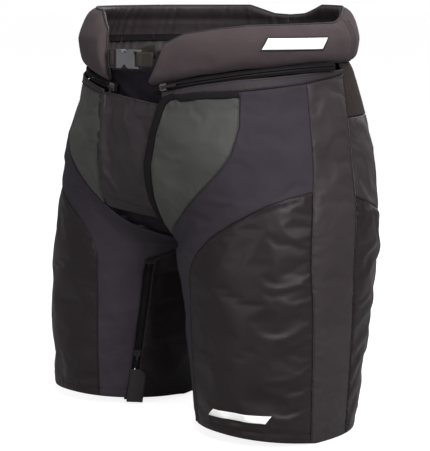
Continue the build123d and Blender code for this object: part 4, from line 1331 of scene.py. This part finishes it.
def mark(name, place, x0, x1, y0, y1, slant):
    """A raised plain bar with slanted ends, on a dark backing."""
    for layer, grow, lift, finish in (("edge", 2.0, 0.0, MARK_EDGE), ("face", 0.0, 0.35, MARK)):
        low, high = y0 - grow, y1 + grow
        a, b, c, d = (x0 - grow, low), (x1 + grow - slant, low), (x1 + grow, high), (x0 - grow + slant, high)
        pattern = Pattern([[a, b], [b, c], [c, d], [d, a]], 4.0, rings=(0.8,))

        def height(p, edge, way, side, lift=lift):
            return 0.6 + lift + 0.3 * unit(edge / 0.8)
        obj = cloth_piece(f"{name}_{layer}", pattern, place, height, finish, thick=0.3)


mark("hem_mark", laid_on(PIECES["lower_front_panel_left"], on_leg()),
     0.235 * TURN, 0.37 * TURN, 30, 42, 9)
mark("belt_mark", laid_on(PIECES["belt_cover_left"], on_ring(middle_inset)),
     0.325 * BELT_ROUND, 0.5 * BELT_ROUND, 532, 547, 10)

# ---------------- camera, floor and light
CAMERA_DOWN = np.radians(8.52)
FOCAL = 117.1796  # millimetres, on a sensor 36 mm wide
camera = bpy.data.objects.new("camera", bpy.data.cameras.new("camera"))
bpy.context.scene.collection.objects.link(camera)
camera.location = (1.527, -1.527, 0.590)
look = Vector((-1, 1, 0)).normalized() * np.cos(CAMERA_DOWN) + Vector((0, 0, -np.sin(CAMERA_DOWN)))
camera.rotation_mode = "QUATERNION"
camera.rotation_quaternion = look.to_track_quat("-Z", "Y")
camera.data.sensor_width = 36
camera.data.lens = FOCAL
camera.data.shift_x = -0.004435
bpy.context.scene.camera = camera


def seen_strength(tree, socket, to_camera, to_object):
    """A strength of light that the camera sees, and another one that falls on the object."""
    ray = tree.nodes.new("ShaderNodeLightPath").outputs["Is Camera Ray"]
    node = tree.nodes.new("ShaderNodeMath")
    node.operation = "MULTIPLY_ADD"
    node.inputs[1].default_value = to_camera - to_object
    node.inputs[2].default_value = to_object
    tree.links.new(ray, node.inputs[0])
    tree.links.new(node.outputs[0], socket)


FLOOR_WIDE = 90  # metres to each side, so that it has no edge in the picture
floor_material = bpy.data.materials.new("floor")
floor_material.use_nodes = True
floor_shader = floor_material.node_tree.nodes["Principled BSDF"]
for key, value in (("Base Color", (0.4, 0.4, 0.4, 1)), ("Roughness", 0.9), ("Specular IOR Level", 0.0),
                   ("Emission Color", (1, 1, 1, 1))):
    floor_shader.inputs[key].default_value = value
seen_strength(floor_material.node_tree, floor_shader.inputs["Emission Strength"], 0.85, 0.0)
floor_corners = [(x * FLOOR_WIDE, y * FLOOR_WIDE, -MM) for x, y in ((-1, -1), (1, -1), (1, 1), (-1, 1))]
floor = mesh_piece("floor", floor_corners, [(0, 1, 2, 3)], [floor_material], smooth=False)

DOME = 0.36  # the light from all round, beside the white that the camera sees
world = bpy.data.worlds.new("studio")
bpy.context.scene.world = world
world.use_nodes = True
background = world.node_tree.nodes["Background"]
background.inputs["Color"].default_value = (1, 1, 1, 1)
seen_strength(world.node_tree, background.inputs["Strength"], 1.0, DOME)


def softbox(name, place, target, size, power):
    """A lamp of a size in metres and a power in watts, turned to its target."""
    lamp = bpy.data.lights.new(name, "AREA")
    lamp.shape = "RECTANGLE"
    lamp.size, lamp.size_y = size
    lamp.energy = power
    obj = bpy.data.objects.new(name, lamp)
    bpy.context.scene.collection.objects.link(obj)
    obj.location = place
    obj.rotation_mode = "QUATERNION"
    obj.rotation_quaternion = (Vector(target) - Vector(place)).to_track_quat("-Z", "Y")


softbox("key", (2.5, -0.75, 1.9), (0, 0, 0.35), (1.0, 1.4), 78)
softbox("top", (1.1, -0.5, 2.9), (0, 0, 0.4), (1.4, 1.4), 56)
softbox("front", (0.35, -2.9, 1.0), (0, 0, 0.35), (1.3, 1.3), 23)
softbox("back", (-0.6, 2.6, 1.6), (0, 0, 0.35), (1.4, 1.2), 30)
bpy.context.scene.view_settings.view_transform = "Standard"
